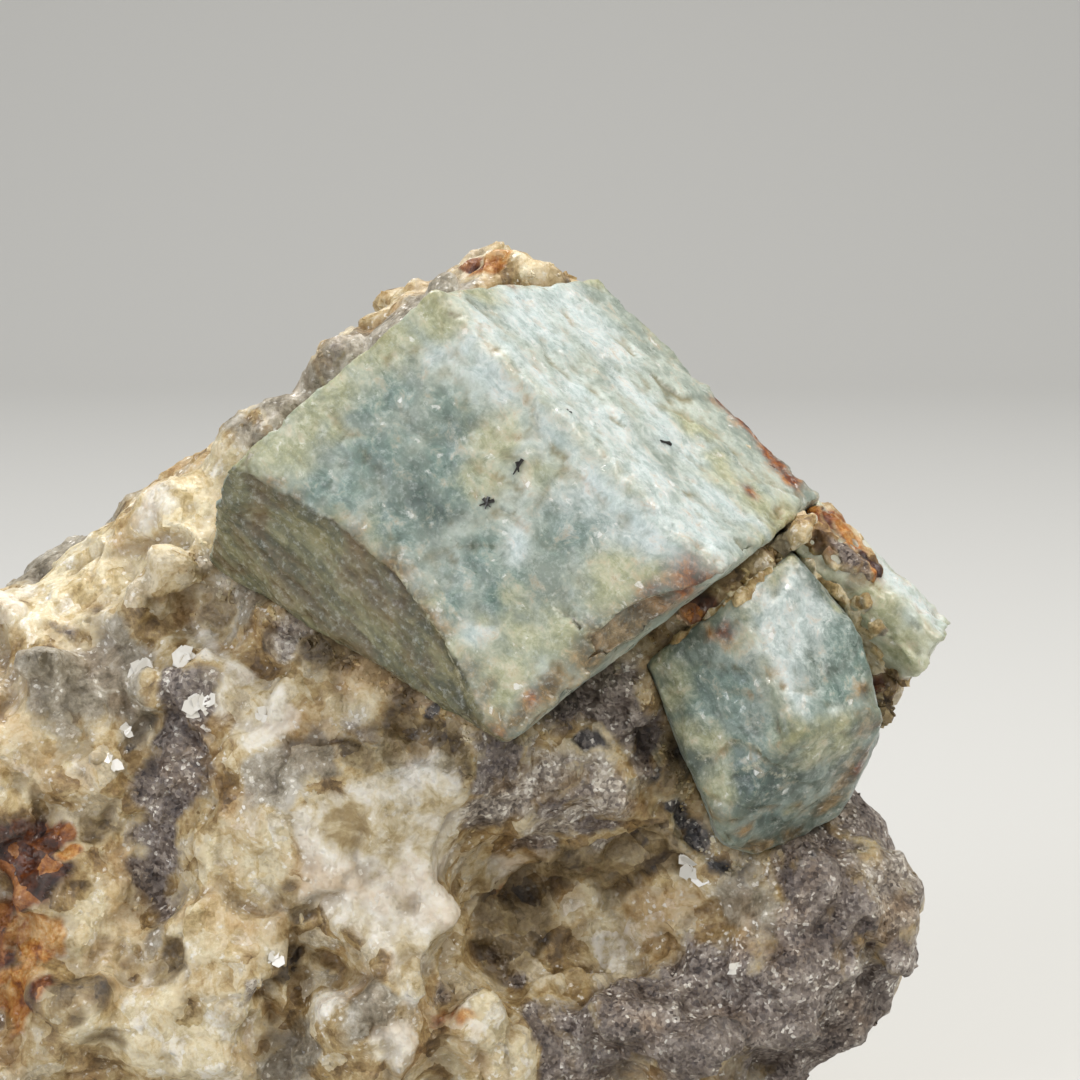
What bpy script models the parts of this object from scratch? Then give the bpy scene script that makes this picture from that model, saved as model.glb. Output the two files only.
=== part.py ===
"""Milky aquamarine: three six-sided beryl crystals grown together in a loose piece of pegmatite.

The rock is one mass. Its outline is drawn as seen square on, its front and back are rolling surfaces through
named heights, flat breaks take off the back, and angular lumps of feldspar, quartz and smoky rock are fused
to it, with a few mica books. Each crystal is cut from a block by its own faces and sits in a socket of the
same shape.
Everything is modelled in millimetres and turned to metres when a sub-part is finished.
+X runs to the right, -Y to the front, +Z up. The specimen stands on a flat underside at Z = 0.
"""
import math
import random

import bmesh
import bpy
from mathutils import Matrix, Vector, noise
from mathutils.bvhtree import BVHTree

MM = 0.001
GAP = 0.3            # clearance between a crystal and its socket
ON_WALL = 0.01       # a point this near a socket belongs to its wall
FRONT = Vector((0.0, -0.990, 0.139))    # the way the specimen faces on display

# ---- the main crystal: a prism lying on its side, falling to the right ---------------------------------
# faces: turn from the front face about the long axis, positive towards the lower left, and the distance
# from the axis. ends: normal (out of the front face, to the lower left, along the axis) and its reach.
MAIN_CENTRE = Vector((-7.0, 0.3, 68.0))
MAIN_AXIS = Vector((0.705, -0.235, -0.669))
MAIN_FACES = [(0, 17.0), (60, 20.1), (120, 23.5), (180, 17.0), (-120, 26.2), (-60, 20.1)]
MAIN_ENDS = [((-0.107, 0.139, 1.0), 20.0), ((-0.217, -0.08, -1.0), 13.0)]
MAIN_FLANK = ((0.0, 1.0, 0.25), 17.4)   # where the lower left side breaks away under the crystal
WORN_TURN = 40.0     # the worn lower left side looks this far round from the front face
WORN_REACH = 18.4    # its distance from the long axis at the middle
WORN_RADIUS = 66.0   # it is hollow along its length, with this radius
ROLLER_LENGTH = 70.0
ROLLER_SIDES = 72
# centre, size and slope of the notch in the lower end
MAIN_NOTCH = ((17.5, -4.4, 24.1), (10.0, 13.5, 8.4), -23.6)

# ---- the lower crystal: stubby, with an edge to the front ----------------------------------------------
LOWER_CENTRE = Vector((22.9, -1.2, 50.5))
LOWER_AXIS = Vector((0.398, -0.213, -0.892))
LOWER_FACES = [(30, 10.5), (90, 10.2), (150, 10.5), (-150, 10.5), (-90, 10.4), (-30, 10.5)]
LOWER_ENDS = [((0.6, -0.21, 1.0), 12.5), ((0.1, -0.83, 1.0), 15.2), ((0.0, 0.9, 1.0), 21.0),
              ((0.0, 0.0, 1.0), 14.2), ((0.0, -1.0, 0.15), 10.1), ((0.087, -0.948, -0.305), 11.3),
              ((-0.1, 0.1, -1.0), 14.0)]

# ---- the edge crystal: small, half buried in crust on the right rim ------------------------------------
EDGE_CENTRE = Vector((32.7, 4.0, 58.8))
EDGE_AXIS = Vector((0.742, -0.093, -0.664))
EDGE_FACES = [(0, 4.6), (60, 3.2), (120, 3.6), (180, 4.6), (-120, 4.5), (-60, 4.5)]
EDGE_ENDS = [((0.05, -0.1, 1.0), 8.8), ((0.0, 0.0, -1.0), 14.0)]

VEIN = 2.3           # rock left between the main and the lower crystal
EDGE_ROUND = 0.35    # the worn edges of the beryl
BLOCK = 90.0         # side of the block that a crystal is cut from

# ---- the rock ------------------------------------------------------------------------------------------
MID_DEPTH = 8.0      # Y of the rock's middle
SLAB_HALF = 20.0     # half the thickness of the slab that the rock is shaped from
SLAB_GRAIN = 1.4     # and its grain
RIM_ROUND = 13.0     # how far in from the outline the rock reaches its full thickness
FRONT_RIM = 0.38     # share of the front half's thickness left at the outline
BACK_RIM = 0.75      # the same for the back half
SOFT = 3.0           # how far a named height rules alone
OUTLINE = [          # X, Z, from the lower left corner up over the top and down the right side
    (-76, -3), (-81, 12), (-82, 23), (-79.5, 33), (-74.5, 44), (-68, 52), (-61, 57), (-55.8, 59.5),
    (-52, 61), (-49, 63), (-44.3, 66.8), (-39.6, 70.4), (-36, 72.5), (-30.8, 76), (-27.5, 78.2),
    (-24.6, 79.7), (-22, 83.8), (-20, 86), (-15.8, 87), (-15.3, 89.4), (-12.2, 91), (-9.7, 92),
    (-7.6, 94), (-5, 95), (-2.5, 95.4), (0.5, 94), (4, 91), (10, 84.5), (16, 78.5), (21, 75.5),
    (25.3, 71.8), (29.4, 67.7), (32.6, 65.2), (34.5, 61), (36.5, 55), (37, 50), (35.3, 45.3),
    (31.5, 41), (33.9, 36.4), (35.5, 33.8), (37.6, 31), (38.6, 28.5), (40.2, 26.4), (40.3, 24.3),
    (38.8, 22), (37.8, 19), (35.2, 16.3), (32.2, 12.5), (29, 8.7), (21, -3),
]
FRONT_SURFACE = [    # X, Z, Y of the rolling front surface
    (-48, 56, -2), (-39, 63, 1), (-41, 56, -4), (-33, 66, 0), (-29, 62, -4), (-22, 58, -7),
    (-16, 55, -9), (-11, 51, -11), (-6, 47, -12), (0, 45, -10), (-24, 49, -9), (-15, 44, -11),
    (-20, 37, -11), (-38, 21, -12), (-17, 21, -11), (-47, 51, -4),
    (-50, 44, -5), (-47, 31, -7), (-36.5, 39, -6), (2, 41, -7), (0, 27, 2), (7, 28, 3),
    (26, 27, -3), (36, 27, 2), (16, 19, -6), (16, 37, -1), (0, 15, -8), (24, 14, -3),
    (6, 51, -6), (11, 54, -4), (23, 34, -2), (-11, 89, 7), (-20, 83, 6), (-31, 75, 5), (-7, 68, 3),
    (21, 64, 0), (33, 47, 1), (-70, 45, -3), (-75, 28, -5), (-72, 10, -8), (-55, 8, -11),
    (-20, 5, -11), (10, 5, -8), (-60, 30, -9), (-60, 48, -5), (26, 50, 3),
]
BACK_SURFACE = [     # X, Z, Y of the back, before the breaks
    (-10, 60, 36), (-45, 40, 35), (-68, 25, 30), (0, 20, 35), (28, 25, 27), (18, 60, 30),
    (-30, 8, 35), (-30, 66, 32), (-5, 84, 28), (-60, 10, 32), (20, 5, 30),
]
BREAKS = [           # the large flat breaks of the back and the left end: way out, and a point on each
    ((0.05, 1.0, -0.15), (-20, 31, 30)), ((0.12, 0.93, 0.32), (-15, 34, 60)),
    ((-0.62, 0.78, 0.1), (-60, 24, 30)), ((0.66, 0.75, -0.1), (20, 26, 30)),
    ((-1.0, -0.1, 0.3), (-79, 5, 25)), ((-0.6, -0.8, 0.05), (-67, -7, 22)),
    ((0.3, 0.75, -0.6), (10, 28, 12)),
]
LUMP_BREAKS = 12     # slanting breaks that trim a lump
LUMP_REACH = (0.40, 0.52)    # their distance from its middle, as shares of its size
# angular lumps fused to the rock: centre, size along X, Y and Z, and turn about Y in degrees
LUMPS = {
    "grey_quartz": [((-47, -4.5, 51), (14, 9, 10), 10), ((-38, -0.5, 60), (12, 8, 9), -30),
                    ((-35, -3.5, 53), (8, 7, 9), 0)],
    "cream_feldspar": [((-52, -5, 45), (9, 8, 7), 5), ((-45, -6, 43), (8, 8, 7), -10),
                       ((-47, -7.5, 31), (12, 9, 11), 20), ((-38, -10.5, 20), (22, 9, 11), -8),
                       ((-49, -9, 17), (13, 9, 10), 12), ((-31, -9.5, 28), (10, 8, 8), 30),
                       ((-62, -8, 34), (12, 9, 14), 20), ((-66, -6, 16), (13, 9, 14), -15)],
    "milky_feldspar": [((-20, -8, 37), (27, 10, 19), -25), ((-29, -6.5, 46), (11, 9, 10), 15),
                       ((-18, -7.5, 45), (12, 9, 9), -20), ((-31, -8, 35), (10, 9, 12), 0),
                       ((-11, -7.5, 42), (11, 9, 8), -30), ((-13, -9, 31), (13, 9, 11), 20)],
    "white_quartz": [((-17, -11, 19), (13, 10, 13), 5), ((-6, -8.5, 17), (9, 8, 10), -15)],
    "shoulder": [((-21, -4, 53), (19, 8, 7), 38), ((-30, 0.5, 61.5), (9, 7, 7), 40),
                 ((-9, -8.5, 45), (12, 9, 6), 35)],
    "rust_corner": [((-53, -6.5, 24), (9, 8, 10), 15), ((-56, -7, 38), (9, 8, 8), -20)],
    "smoky_ledge": [((2, -5.5, 43), (17, 9, 9), 18), ((-2, -5, 46), (11, 8, 7), 25),
                    ((9.5, -3.5, 53), (9, 9, 11), 0)],
    "smoky_mass": [((26, -2, 27), (16, 9, 18), 12), ((34, 2, 28), (9, 9, 13), 0),
                   ((31, 0.5, 33), (8, 8, 7), 30), ((24, -3.5, 19), (13, 9, 11), -10),
                   ((10, -6, 18), (16, 8, 9), 8), ((31, 1.5, 17), (9, 8, 9), -40)],
    "brown_crust": [((33, 4, 49), (7, 10, 10), -30), ((29.5, 2, 66), (8, 8, 5), 42),
                    ((31, 0.5, 62.5), (6, 7, 4), 42)],
    "rim_slabs": [((-11, 8, 88), (10, 10, 5), -35), ((-19.5, 9, 82.5), (7, 9, 7), 20),
                  ((-30, 8, 74), (11, 9, 5), -35), ((-4, 10, 91.5), (9, 10, 5), -15)],
    "vein": [((17.5, -6.5, 60.5), (4, 7, 6), 45), ((21, -3, 64.3), (4, 8, 6), 45),
             ((25, 1, 68), (4, 8, 6), 45), ((14.5, -7.5, 60), (5, 7, 5), 0)],
    "back_blocks": [((-24, 26, 38), (26, 12, 24), 20), ((6, 23, 52), (20, 12, 22), -15),
                    ((-52, 22, 20), (22, 12, 20), 10)],
}
# ledges and pits cut into the rock in the same way
HOLLOWS = [((2, -7, 27), (17, 9, 9), -30), ((-8, -11, 25), (6, 6, 7), 20), ((14, -8, 34), (8, 7, 8), 0),
           ((9, -9, 49), (5, 6, 5), 10)]
# mica flakes grown into the rock: X and Z on its front, width, height, and the turns about Y and Z
FLAKES = [(15.3, 34.2, 2.8, 4.2, 15, 22), (-34.4, 49.8, 4.4, 2.8, 25, -25), (-43.8, 44.8, 3.2, 2.2, 40, 20),
          (-35.8, 53.5, 2.4, 2.8, 0, -24), (30.5, 55.0, 3.0, 2.2, 30, 28)]
FLAKE_THICK = 1.1

VOXEL = 1.1          # grain of the fused rock before it is thinned
ROCK_FACES = 7200    # triangles kept in the rock
CELL = 9.0           # width of the fracture facets
TILT = 0.28          # slope of the fracture facets
ROUGH = 0.5          # height of the small relief
ROUGH_WIDTH = 5.0    # and the width of its waves
TRIM = 0.9           # how far the broken skin lies inside the drawn one


def start_empty():
    """Remove what the file holds and make the specimen's collections."""
    for thing in list(bpy.data.objects):
        bpy.data.objects.remove(thing)
    parts = bpy.data.collections.new("aquamarine_specimen")
    cutters = bpy.data.collections.new("cutters")
    bpy.context.scene.collection.children.link(parts)
    bpy.context.scene.collection.children.link(cutters)
    return parts, cutters


def material(name, colour, roughness):
    made = bpy.data.materials.new(name)
    made.use_nodes = True
    shader = made.node_tree.nodes["Principled BSDF"]
    shader.inputs["Base Color"].default_value = (*colour, 1.0)
    shader.inputs["Roughness"].default_value = roughness
    shader.inputs["Metallic"].default_value = 0.0
    made.diffuse_color = (*colour, 1.0)
    return made


# ---- solids with flat faces ----------------------------------------------------------------------------
def cut_by(bm, normal, reach):
    """Cut a closed solid at the plane normal . point = reach and close the cut."""
    normal = Vector(normal)
    found = bmesh.ops.bisect_plane(
        bm, geom=bm.verts[:] + bm.edges[:] + bm.faces[:], dist=0.0001,
        plane_co=normal * (reach / normal.length_squared), plane_no=normal, clear_outer=True)
    rim = [edge for edge in found["geom_cut"] if isinstance(edge, bmesh.types.BMEdge)]
    if rim:
        bmesh.ops.edgeloop_fill(bm, edges=rim)


def flat_faced(planes, size):
    """A convex solid: a block cut by each plane in turn."""
    bm = bmesh.new()
    bmesh.ops.create_cube(bm, size=size)
    for normal, reach in planes:
        cut_by(bm, normal, reach)
    return bm


def prism_planes(faces, ends, grow):
    planes = []
    for turn, reach in faces:
        angle = math.radians(turn)
        planes.append((Vector((math.cos(angle), math.sin(angle), 0.0)), reach + grow))
    for normal, reach in ends:
        normal = Vector(normal)
        planes.append((normal, reach + grow * normal.length))
    return planes


def crystal_frame(centre, axis):
    """Local X out of the front face, local Z along the long axis."""
    along = axis.normalized()
    facing = (FRONT - FRONT.project(along)).normalized()
    side = along.cross(facing)
    turn = Matrix((facing, side, along)).transposed().to_4x4()
    return Matrix.Translation(centre) @ turn


def crystal(centre, axis, faces, ends, grow=0.0):
    bm = flat_faced(prism_planes(faces, ends, grow), BLOCK)
    if grow == 0.0:
        bmesh.ops.bevel(bm, geom=bm.edges[:], offset=EDGE_ROUND, affect="EDGES", segments=1,
                        profile=0.5, material=-1, clamp_overlap=True)
    bm.transform(crystal_frame(centre, axis))
    return bm


def main_crystal(grow=0.0):
    return crystal(MAIN_CENTRE, MAIN_AXIS, MAIN_FACES, MAIN_ENDS + [MAIN_FLANK], grow)


def worn_side():
    """A wide roller that hollows the lower left side along its length."""
    angle = math.radians(WORN_TURN)
    out = Vector((math.cos(angle), math.sin(angle), 0.0))
    along = Vector((0.0, 0.0, 1.0))
    turn = Matrix((out, along.cross(out), along)).transposed().to_4x4()
    bm = bmesh.new()
    bmesh.ops.create_cone(bm, cap_ends=True, segments=ROLLER_SIDES, radius1=WORN_RADIUS,
                          radius2=WORN_RADIUS, depth=ROLLER_LENGTH)
    bm.transform(crystal_frame(MAIN_CENTRE, MAIN_AXIS) @ turn
                 @ Matrix.Translation((WORN_REACH + WORN_RADIUS, 0.0, 0.0))
                 @ Matrix.Rotation(math.radians(90), 4, "X"))
    return bm


def end_notch():
    centre, size, slope = MAIN_NOTCH
    bm = fracture_block((0, 0, 0), size, 0, "end notch")
    bm.transform(crystal_frame(MAIN_CENTRE, MAIN_AXIS) @ Matrix.Translation(centre)
                 @ Matrix.Rotation(math.radians(slope), 4, "X"))
    return bm


def vein_plane(frame):
    """The main crystal's lower end, moved out by the vein, as a plane in another crystal's frame."""
    normal, reach = MAIN_ENDS[0]
    normal = Vector(normal)
    main = crystal_frame(MAIN_CENTRE, MAIN_AXIS)
    point = main @ (normal * ((reach + VEIN * normal.length) / normal.length_squared))
    outward = -(main.to_3x3() @ normal).normalized()
    local = frame.inverted()
    turned = local.to_3x3() @ outward
    return turned, turned.dot(local @ point)


def lower_crystal(grow=0.0):
    ends = LOWER_ENDS + [vein_plane(crystal_frame(LOWER_CENTRE, LOWER_AXIS))]
    return crystal(LOWER_CENTRE, LOWER_AXIS, LOWER_FACES, ends, grow)


def edge_crystal(grow=0.0):
    return crystal(EDGE_CENTRE, EDGE_AXIS, EDGE_FACES, EDGE_ENDS, grow)


def fracture_block(centre, size, turn, seed):
    """An angular lump: a block trimmed by a dozen slanting breaks."""
    dice = random.Random(seed)
    breaks = []
    for _ in range(LUMP_BREAKS):
        way = Vector((dice.gauss(0, 1), dice.gauss(0, 1), dice.gauss(0, 1))).normalized()
        breaks.append((way, dice.uniform(*LUMP_REACH)))
    bm = flat_faced(breaks, 1.0)
    stretch = Matrix.Diagonal((*size, 1.0))
    tilt = Matrix.Rotation(math.radians(turn), 4, "Y")
    bm.transform(Matrix.Translation(centre) @ tilt @ stretch)
    return bm


# ---- from bmesh to objects and back --------------------------------------------------------------------
def object_of(bm, name, home):
    mesh = bpy.data.meshes.new(name)
    bm.to_mesh(mesh)
    bm.free()
    made = bpy.data.objects.new(name, mesh)
    home.objects.link(made)
    return made


def cutter_of(bm, name, home):
    made = object_of(bm, name, home)
    made.hide_render = True
    made.display_type = "WIRE"
    return made


def settle(thing):
    """Apply an object's modifiers to its mesh."""
    evaluated = thing.evaluated_get(bpy.context.evaluated_depsgraph_get())
    mesh = bpy.data.meshes.new_from_object(evaluated)
    thing.modifiers.clear()
    thing.data = mesh
    return thing


def boolean(thing, cutter, operation):
    change = thing.modifiers.new(operation.lower(), "BOOLEAN")
    change.operation = operation
    change.solver = "EXACT"
    change.object = cutter
    settle(thing)
    bpy.data.objects.remove(cutter)


def keep_largest(thing):
    """Drop crumbs that a cut has parted from the piece."""
    bm = bmesh.new()
    bm.from_mesh(thing.data)
    waiting = set(bm.verts)
    bodies = []
    while waiting:
        body = {waiting.pop()}
        edge = list(body)
        while edge:
            point = edge.pop()
            for link in point.link_edges:
                other = link.other_vert(point)
                if other in waiting:
                    waiting.remove(other)
                    body.add(other)
                    edge.append(other)
        bodies.append(body)
    bodies.sort(key=len)
    for body in bodies[:-1]:
        bmesh.ops.delete(bm, geom=list(body), context="VERTS")
    bm.to_mesh(thing.data)
    bm.free()


# ---- the rock ------------------------------------------------------------------------------------------
def height_at(x, z, points):
    """A rolling surface through the given heights: near points weigh most, softened within SOFT mm."""
    total = 0.0
    weights = 0.0
    for px, pz, height in points:
        weight = 1.0 / ((x - px) ** 2 + (z - pz) ** 2 + SOFT ** 2) ** 2
        total += weight * height
        weights += weight
    return total / weights


def distance_in(x, z):
    """How far a point lies from the rock's outline."""
    nearest = 1e9
    for (ax, az), (bx, bz) in zip(OUTLINE, OUTLINE[1:] + OUTLINE[:1]):
        dx = bx - ax
        dz = bz - az
        share = max(0.0, min(1.0, ((x - ax) * dx + (z - az) * dz) / (dx * dx + dz * dz)))
        nearest = min(nearest, math.hypot(x - ax - share * dx, z - az - share * dz))
    return nearest


def rock_slab(home):
    """The outline as a flat curve, extruded to a slab."""
    flat = bpy.data.curves.new("rock_outline", "CURVE")
    flat.dimensions = "2D"
    flat.fill_mode = "BOTH"
    flat.extrude = SLAB_HALF
    line = flat.splines.new("POLY")
    line.points.add(len(OUTLINE) - 1)
    for point, (x, z) in zip(line.points, OUTLINE):
        point.co = (x, z, 0.0, 1.0)
    line.use_cyclic_u = True
    drawn = bpy.data.objects.new("rock_outline", flat)
    home.objects.link(drawn)
    bpy.context.view_layer.update()
    mesh = bpy.data.meshes.new_from_object(drawn.evaluated_get(bpy.context.evaluated_depsgraph_get()))
    bpy.data.objects.remove(drawn)
    bm = bmesh.new()
    bm.from_mesh(mesh)
    bmesh.ops.remove_doubles(bm, verts=bm.verts, dist=0.0001)
    bm.transform(Matrix.Rotation(math.radians(90), 4, "X"))
    return object_of(bm, "matrix", home)


def remesh(thing, size):
    grain = thing.modifiers.new("grain", "REMESH")
    grain.mode = "VOXEL"
    grain.voxel_size = size
    settle(thing)


def shape_front_and_back(thing):
    """Pull the slab's faces to the rolling surfaces, and thin it towards its outline."""
    for vert in thing.data.vertices:
        x, y, z = vert.co
        inward = min(1.0, distance_in(x, z) / RIM_ROUND)
        swell = math.sqrt(1.0 - (1.0 - inward) ** 2)
        front_share = FRONT_RIM + (1.0 - FRONT_RIM) * swell
        back_share = BACK_RIM + (1.0 - BACK_RIM) * swell
        front = MID_DEPTH + (height_at(x, z, FRONT_SURFACE) - MID_DEPTH) * front_share
        back = MID_DEPTH + (height_at(x, z, BACK_SURFACE) - MID_DEPTH) * back_share
        share = (y + SLAB_HALF) / (2.0 * SLAB_HALF)
        vert.co.y = front + (back - front) * share


def break_off(thing):
    """Take the large flat breaks off the back and the left end."""
    bm = bmesh.new()
    bm.from_mesh(thing.data)
    for way, point in BREAKS:
        cut_by(bm, way, Vector(way).dot(Vector(point)))
    bm.to_mesh(thing.data)
    bm.free()


def fuse_lumps(thing, home):
    """Add the angular lumps to the rock's mesh, take the hollows out and grow all into one skin."""
    bm = bmesh.new()
    bm.from_mesh(thing.data)
    for kind, blocks in LUMPS.items():
        for index, (centre, size, turn) in enumerate(blocks):
            block = fracture_block(centre, size, turn, f"{kind} {index}")
            piece = bpy.data.meshes.new("lump")
            block.to_mesh(piece)
            block.free()
            bm.from_mesh(piece)
            bpy.data.meshes.remove(piece)
    bm.to_mesh(thing.data)
    bm.free()
    remesh(thing, VOXEL)
    for index, (centre, size, turn) in enumerate(HOLLOWS):
        pit = cutter_of(fracture_block(centre, size, turn, f"hollow {index}"), "pit", home)
        boolean(thing, pit, "DIFFERENCE")


def fracture(thing):
    """Break the skin into slanting facets, with smaller relief over them."""
    normals = [vert.normal.copy() for vert in thing.data.vertices]
    for vert, normal in zip(thing.data.vertices, normals):
        place = vert.co.copy()
        _, points = noise.voronoi(place / CELL)
        slope = noise.cell_vector(points[0] * 97.0) - Vector((0.5, 0.5, 0.5))
        facet = slope.dot(place - points[0] * CELL) * TILT * 2.0
        small = noise.fractal(place / ROUGH_WIDTH, 0.6, 2.0, 4) * ROUGH
        vert.co = place + normal * (facet + small - TRIM)


def thin(thing, faces, sockets):
    """Keep only as many triangles as the rock's form needs, and leave the sockets' walls alone."""
    free = thing.vertex_groups.new(name="free")
    for vert in thing.data.vertices:
        if all(skin.find_nearest(vert.co)[3] > ON_WALL for skin in sockets):
            free.add([vert.index], 1.0, "REPLACE")
    few = thing.modifiers.new("thin", "DECIMATE")
    few.ratio = faces / (2.0 * len(thing.data.polygons))
    few.use_collapse_triangulate = True
    few.vertex_group = free.name
    few.vertex_group_factor = 1000.0
    settle(thing)
    thing.vertex_groups.clear()


def mend(thing):
    """Close the few places where thinning has folded the skin onto itself."""
    bm = bmesh.new()
    bm.from_mesh(thing.data)
    for _ in range(3):
        folded = {face for edge in bm.edges if len(edge.link_faces) != 2 for face in edge.link_faces}
        bmesh.ops.delete(bm, geom=list(folded), context="FACES")
        loose = [edge for edge in bm.edges if not edge.link_faces]
        bmesh.ops.delete(bm, geom=loose, context="EDGES")
        bmesh.ops.delete(bm, geom=[vert for vert in bm.verts if not vert.link_faces], context="VERTS")
        bmesh.ops.holes_fill(bm, edges=[edge for edge in bm.edges if edge.is_boundary], sides=0)
    bmesh.ops.recalc_face_normals(bm, faces=bm.faces)
    bm.to_mesh(thing.data)
    bm.free()


def flat_base(thing):
    bm = bmesh.new()
    bm.from_mesh(thing.data)
    cut_by(bm, (0.0, 0.0, -1.0), 0.0)
    bm.to_mesh(thing.data)
    bm.free()


def flake(rock, x, z, width, height, turn, swing):
    """A six-sided mica book, half sunk in the rock where a line from the front meets it."""
    skin = BVHTree.FromPolygons([vert.co for vert in rock.data.vertices],
                                [face.vertices for face in rock.data.polygons])
    centre = skin.ray_cast(Vector((x, -60.0, z)), Vector((0.0, 1.0, 0.0)))[0]
    bm = bmesh.new()
    bmesh.ops.create_cone(bm, cap_ends=True, segments=6, radius1=0.5, radius2=0.46, depth=1.0)
    shape = Matrix.Diagonal((width, height, FLAKE_THICK, 1.0))
    upright = Matrix.Rotation(math.radians(90), 4, "X")
    lean = Matrix.Rotation(math.radians(turn), 4, "Y") @ Matrix.Rotation(math.radians(swing), 4, "Z")
    bm.transform(Matrix.Translation(centre) @ lean @ upright @ shape)
    return bm


def make_matrix(home, cutters):
    rock = rock_slab(home)
    remesh(rock, SLAB_GRAIN)
    shape_front_and_back(rock)
    remesh(rock, SLAB_GRAIN)
    break_off(rock)
    fuse_lumps(rock, cutters)
    fracture(rock)
    remesh(rock, VOXEL)
    for book in FLAKES:
        boolean(rock, cutter_of(flake(rock, *book), "flake", cutters), "UNION")
    walls = []
    for socket in (main_crystal(GAP), lower_crystal(GAP), edge_crystal(GAP)):
        walls.append(BVHTree.FromBMesh(socket))
        boolean(rock, cutter_of(socket, "socket", cutters), "DIFFERENCE")
    keep_largest(rock)
    thin(rock, ROCK_FACES, walls)
    mend(rock)
    flat_base(rock)
    keep_largest(rock)
    return rock


def make_crystals(home, cutters):
    main = object_of(main_crystal(), "main_crystal", home)
    boolean(main, cutter_of(worn_side(), "worn_side", cutters), "DIFFERENCE")
    boolean(main, cutter_of(end_notch(), "end_notch", cutters), "DIFFERENCE")
    lower = object_of(lower_crystal(), "lower_crystal", home)
    edge = object_of(edge_crystal(), "edge_crystal", home)
    boolean(edge, cutter_of(lower_crystal(GAP), "room", cutters), "DIFFERENCE")
    boolean(edge, cutter_of(main_crystal(GAP), "room", cutters), "DIFFERENCE")
    return main, lower, edge


def finish(thing, coat, parent):
    thing.data.transform(Matrix.Scale(MM, 4))
    thing.data.materials.clear()
    thing.data.materials.append(coat)
    thing.parent = parent


def main():
    parts, cutters = start_empty()
    rock = make_matrix(parts, cutters)
    big, lower, edge = make_crystals(parts, cutters)
    specimen = bpy.data.objects.new("specimen", None)
    parts.objects.link(specimen)
    beryl = material("milky_beryl", (0.62, 0.72, 0.68), 0.35)
    finish(rock, material("pegmatite", (0.58, 0.52, 0.42), 0.75), specimen)
    finish(big, beryl, specimen)
    finish(lower, material("teal_beryl", (0.55, 0.68, 0.64), 0.35), specimen)
    finish(edge, material("pale_beryl", (0.68, 0.72, 0.60), 0.4), specimen)
    corners = [vert.co for thing in (rock, big, lower, edge) for vert in thing.data.vertices]
    low = Vector([min(co[axis] for co in corners) for axis in range(3)])
    high = Vector([max(co[axis] for co in corners) for axis in range(3)])
    specimen.location = (-(low.x + high.x) / 2.0, -(low.y + high.y) / 2.0, -low.z)
    print("specimen", [round(v, 4) for v in high - low], "moved by", [round(v, 5) for v in specimen.location])


main()
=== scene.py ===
# %% [markdown]
# # Milky aquamarine on pegmatite
# The real object is a hand specimen: three six-sided beryl crystals that grew into a lump of coarse granite
# rock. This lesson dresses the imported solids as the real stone. The solids come first, as a fixed frame, so
# that every piece below is made where it belongs and nothing has to be fitted afterwards.

# %% Load the frame
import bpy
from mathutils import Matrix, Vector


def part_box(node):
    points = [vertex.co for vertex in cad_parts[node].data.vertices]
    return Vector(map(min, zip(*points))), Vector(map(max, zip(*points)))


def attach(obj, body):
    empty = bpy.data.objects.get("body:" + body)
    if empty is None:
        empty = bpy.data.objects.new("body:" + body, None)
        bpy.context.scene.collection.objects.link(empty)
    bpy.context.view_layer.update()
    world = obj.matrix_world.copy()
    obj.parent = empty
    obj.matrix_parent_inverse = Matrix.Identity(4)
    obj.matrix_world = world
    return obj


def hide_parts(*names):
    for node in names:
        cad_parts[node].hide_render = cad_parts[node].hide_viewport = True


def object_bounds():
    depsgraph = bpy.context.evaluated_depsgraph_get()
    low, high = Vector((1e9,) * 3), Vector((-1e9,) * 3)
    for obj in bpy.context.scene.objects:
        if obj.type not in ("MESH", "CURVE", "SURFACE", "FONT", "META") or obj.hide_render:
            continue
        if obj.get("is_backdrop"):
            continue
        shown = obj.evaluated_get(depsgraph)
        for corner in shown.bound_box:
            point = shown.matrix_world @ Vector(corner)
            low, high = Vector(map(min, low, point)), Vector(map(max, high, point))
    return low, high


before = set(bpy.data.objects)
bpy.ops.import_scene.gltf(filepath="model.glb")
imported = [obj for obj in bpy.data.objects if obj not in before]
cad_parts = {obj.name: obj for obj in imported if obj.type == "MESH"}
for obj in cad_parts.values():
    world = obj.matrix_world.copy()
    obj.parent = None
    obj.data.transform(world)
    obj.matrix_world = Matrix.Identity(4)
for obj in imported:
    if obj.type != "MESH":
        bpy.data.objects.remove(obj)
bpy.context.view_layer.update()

# %% [markdown]
# The shapes are worked in millimetres, the unit in which a collector measures a specimen, and counted from
# the specimen's own zero: under its middle, on the surface that it stands on. The main crystal's box gives
# that zero. A piece is moved and scaled to the frame's metres when it is finished.

# %% Units and the specimen's zero
import functools
import itertools
import math
import random

import bmesh
import bpy
import numpy as np
from mathutils import Matrix, Vector, kdtree, noise
from mathutils.bvhtree import BVHTree

MM = 0.001
MAIN_BOX_MIDDLE = Vector((-2.27, -0.77, 67.78))      # seen from the specimen's zero
low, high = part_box("main_crystal")
ZERO = (Vector(low) + Vector(high)) / (2.0 * MM) - MAIN_BOX_MIDDLE
TO_FRAME = Matrix.Scale(MM, 4) @ Matrix.Translation(ZERO)
NOISE_SEED = 3                   # unseeded, vector noise starts from the clock and differs at every run
noise.seed_set(NOISE_SEED)
print("zero lies at", [round(v * MM, 5) for v in ZERO])

# %% [markdown]
# The camera is a 100 mm lens, 300 mm from a point between the crystals and 8 degrees above it: close enough
# to fill the picture, and long enough to keep the crystal's edges nearly parallel. It is made first, because
# small marks are placed later by where they show in its square picture.

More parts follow.
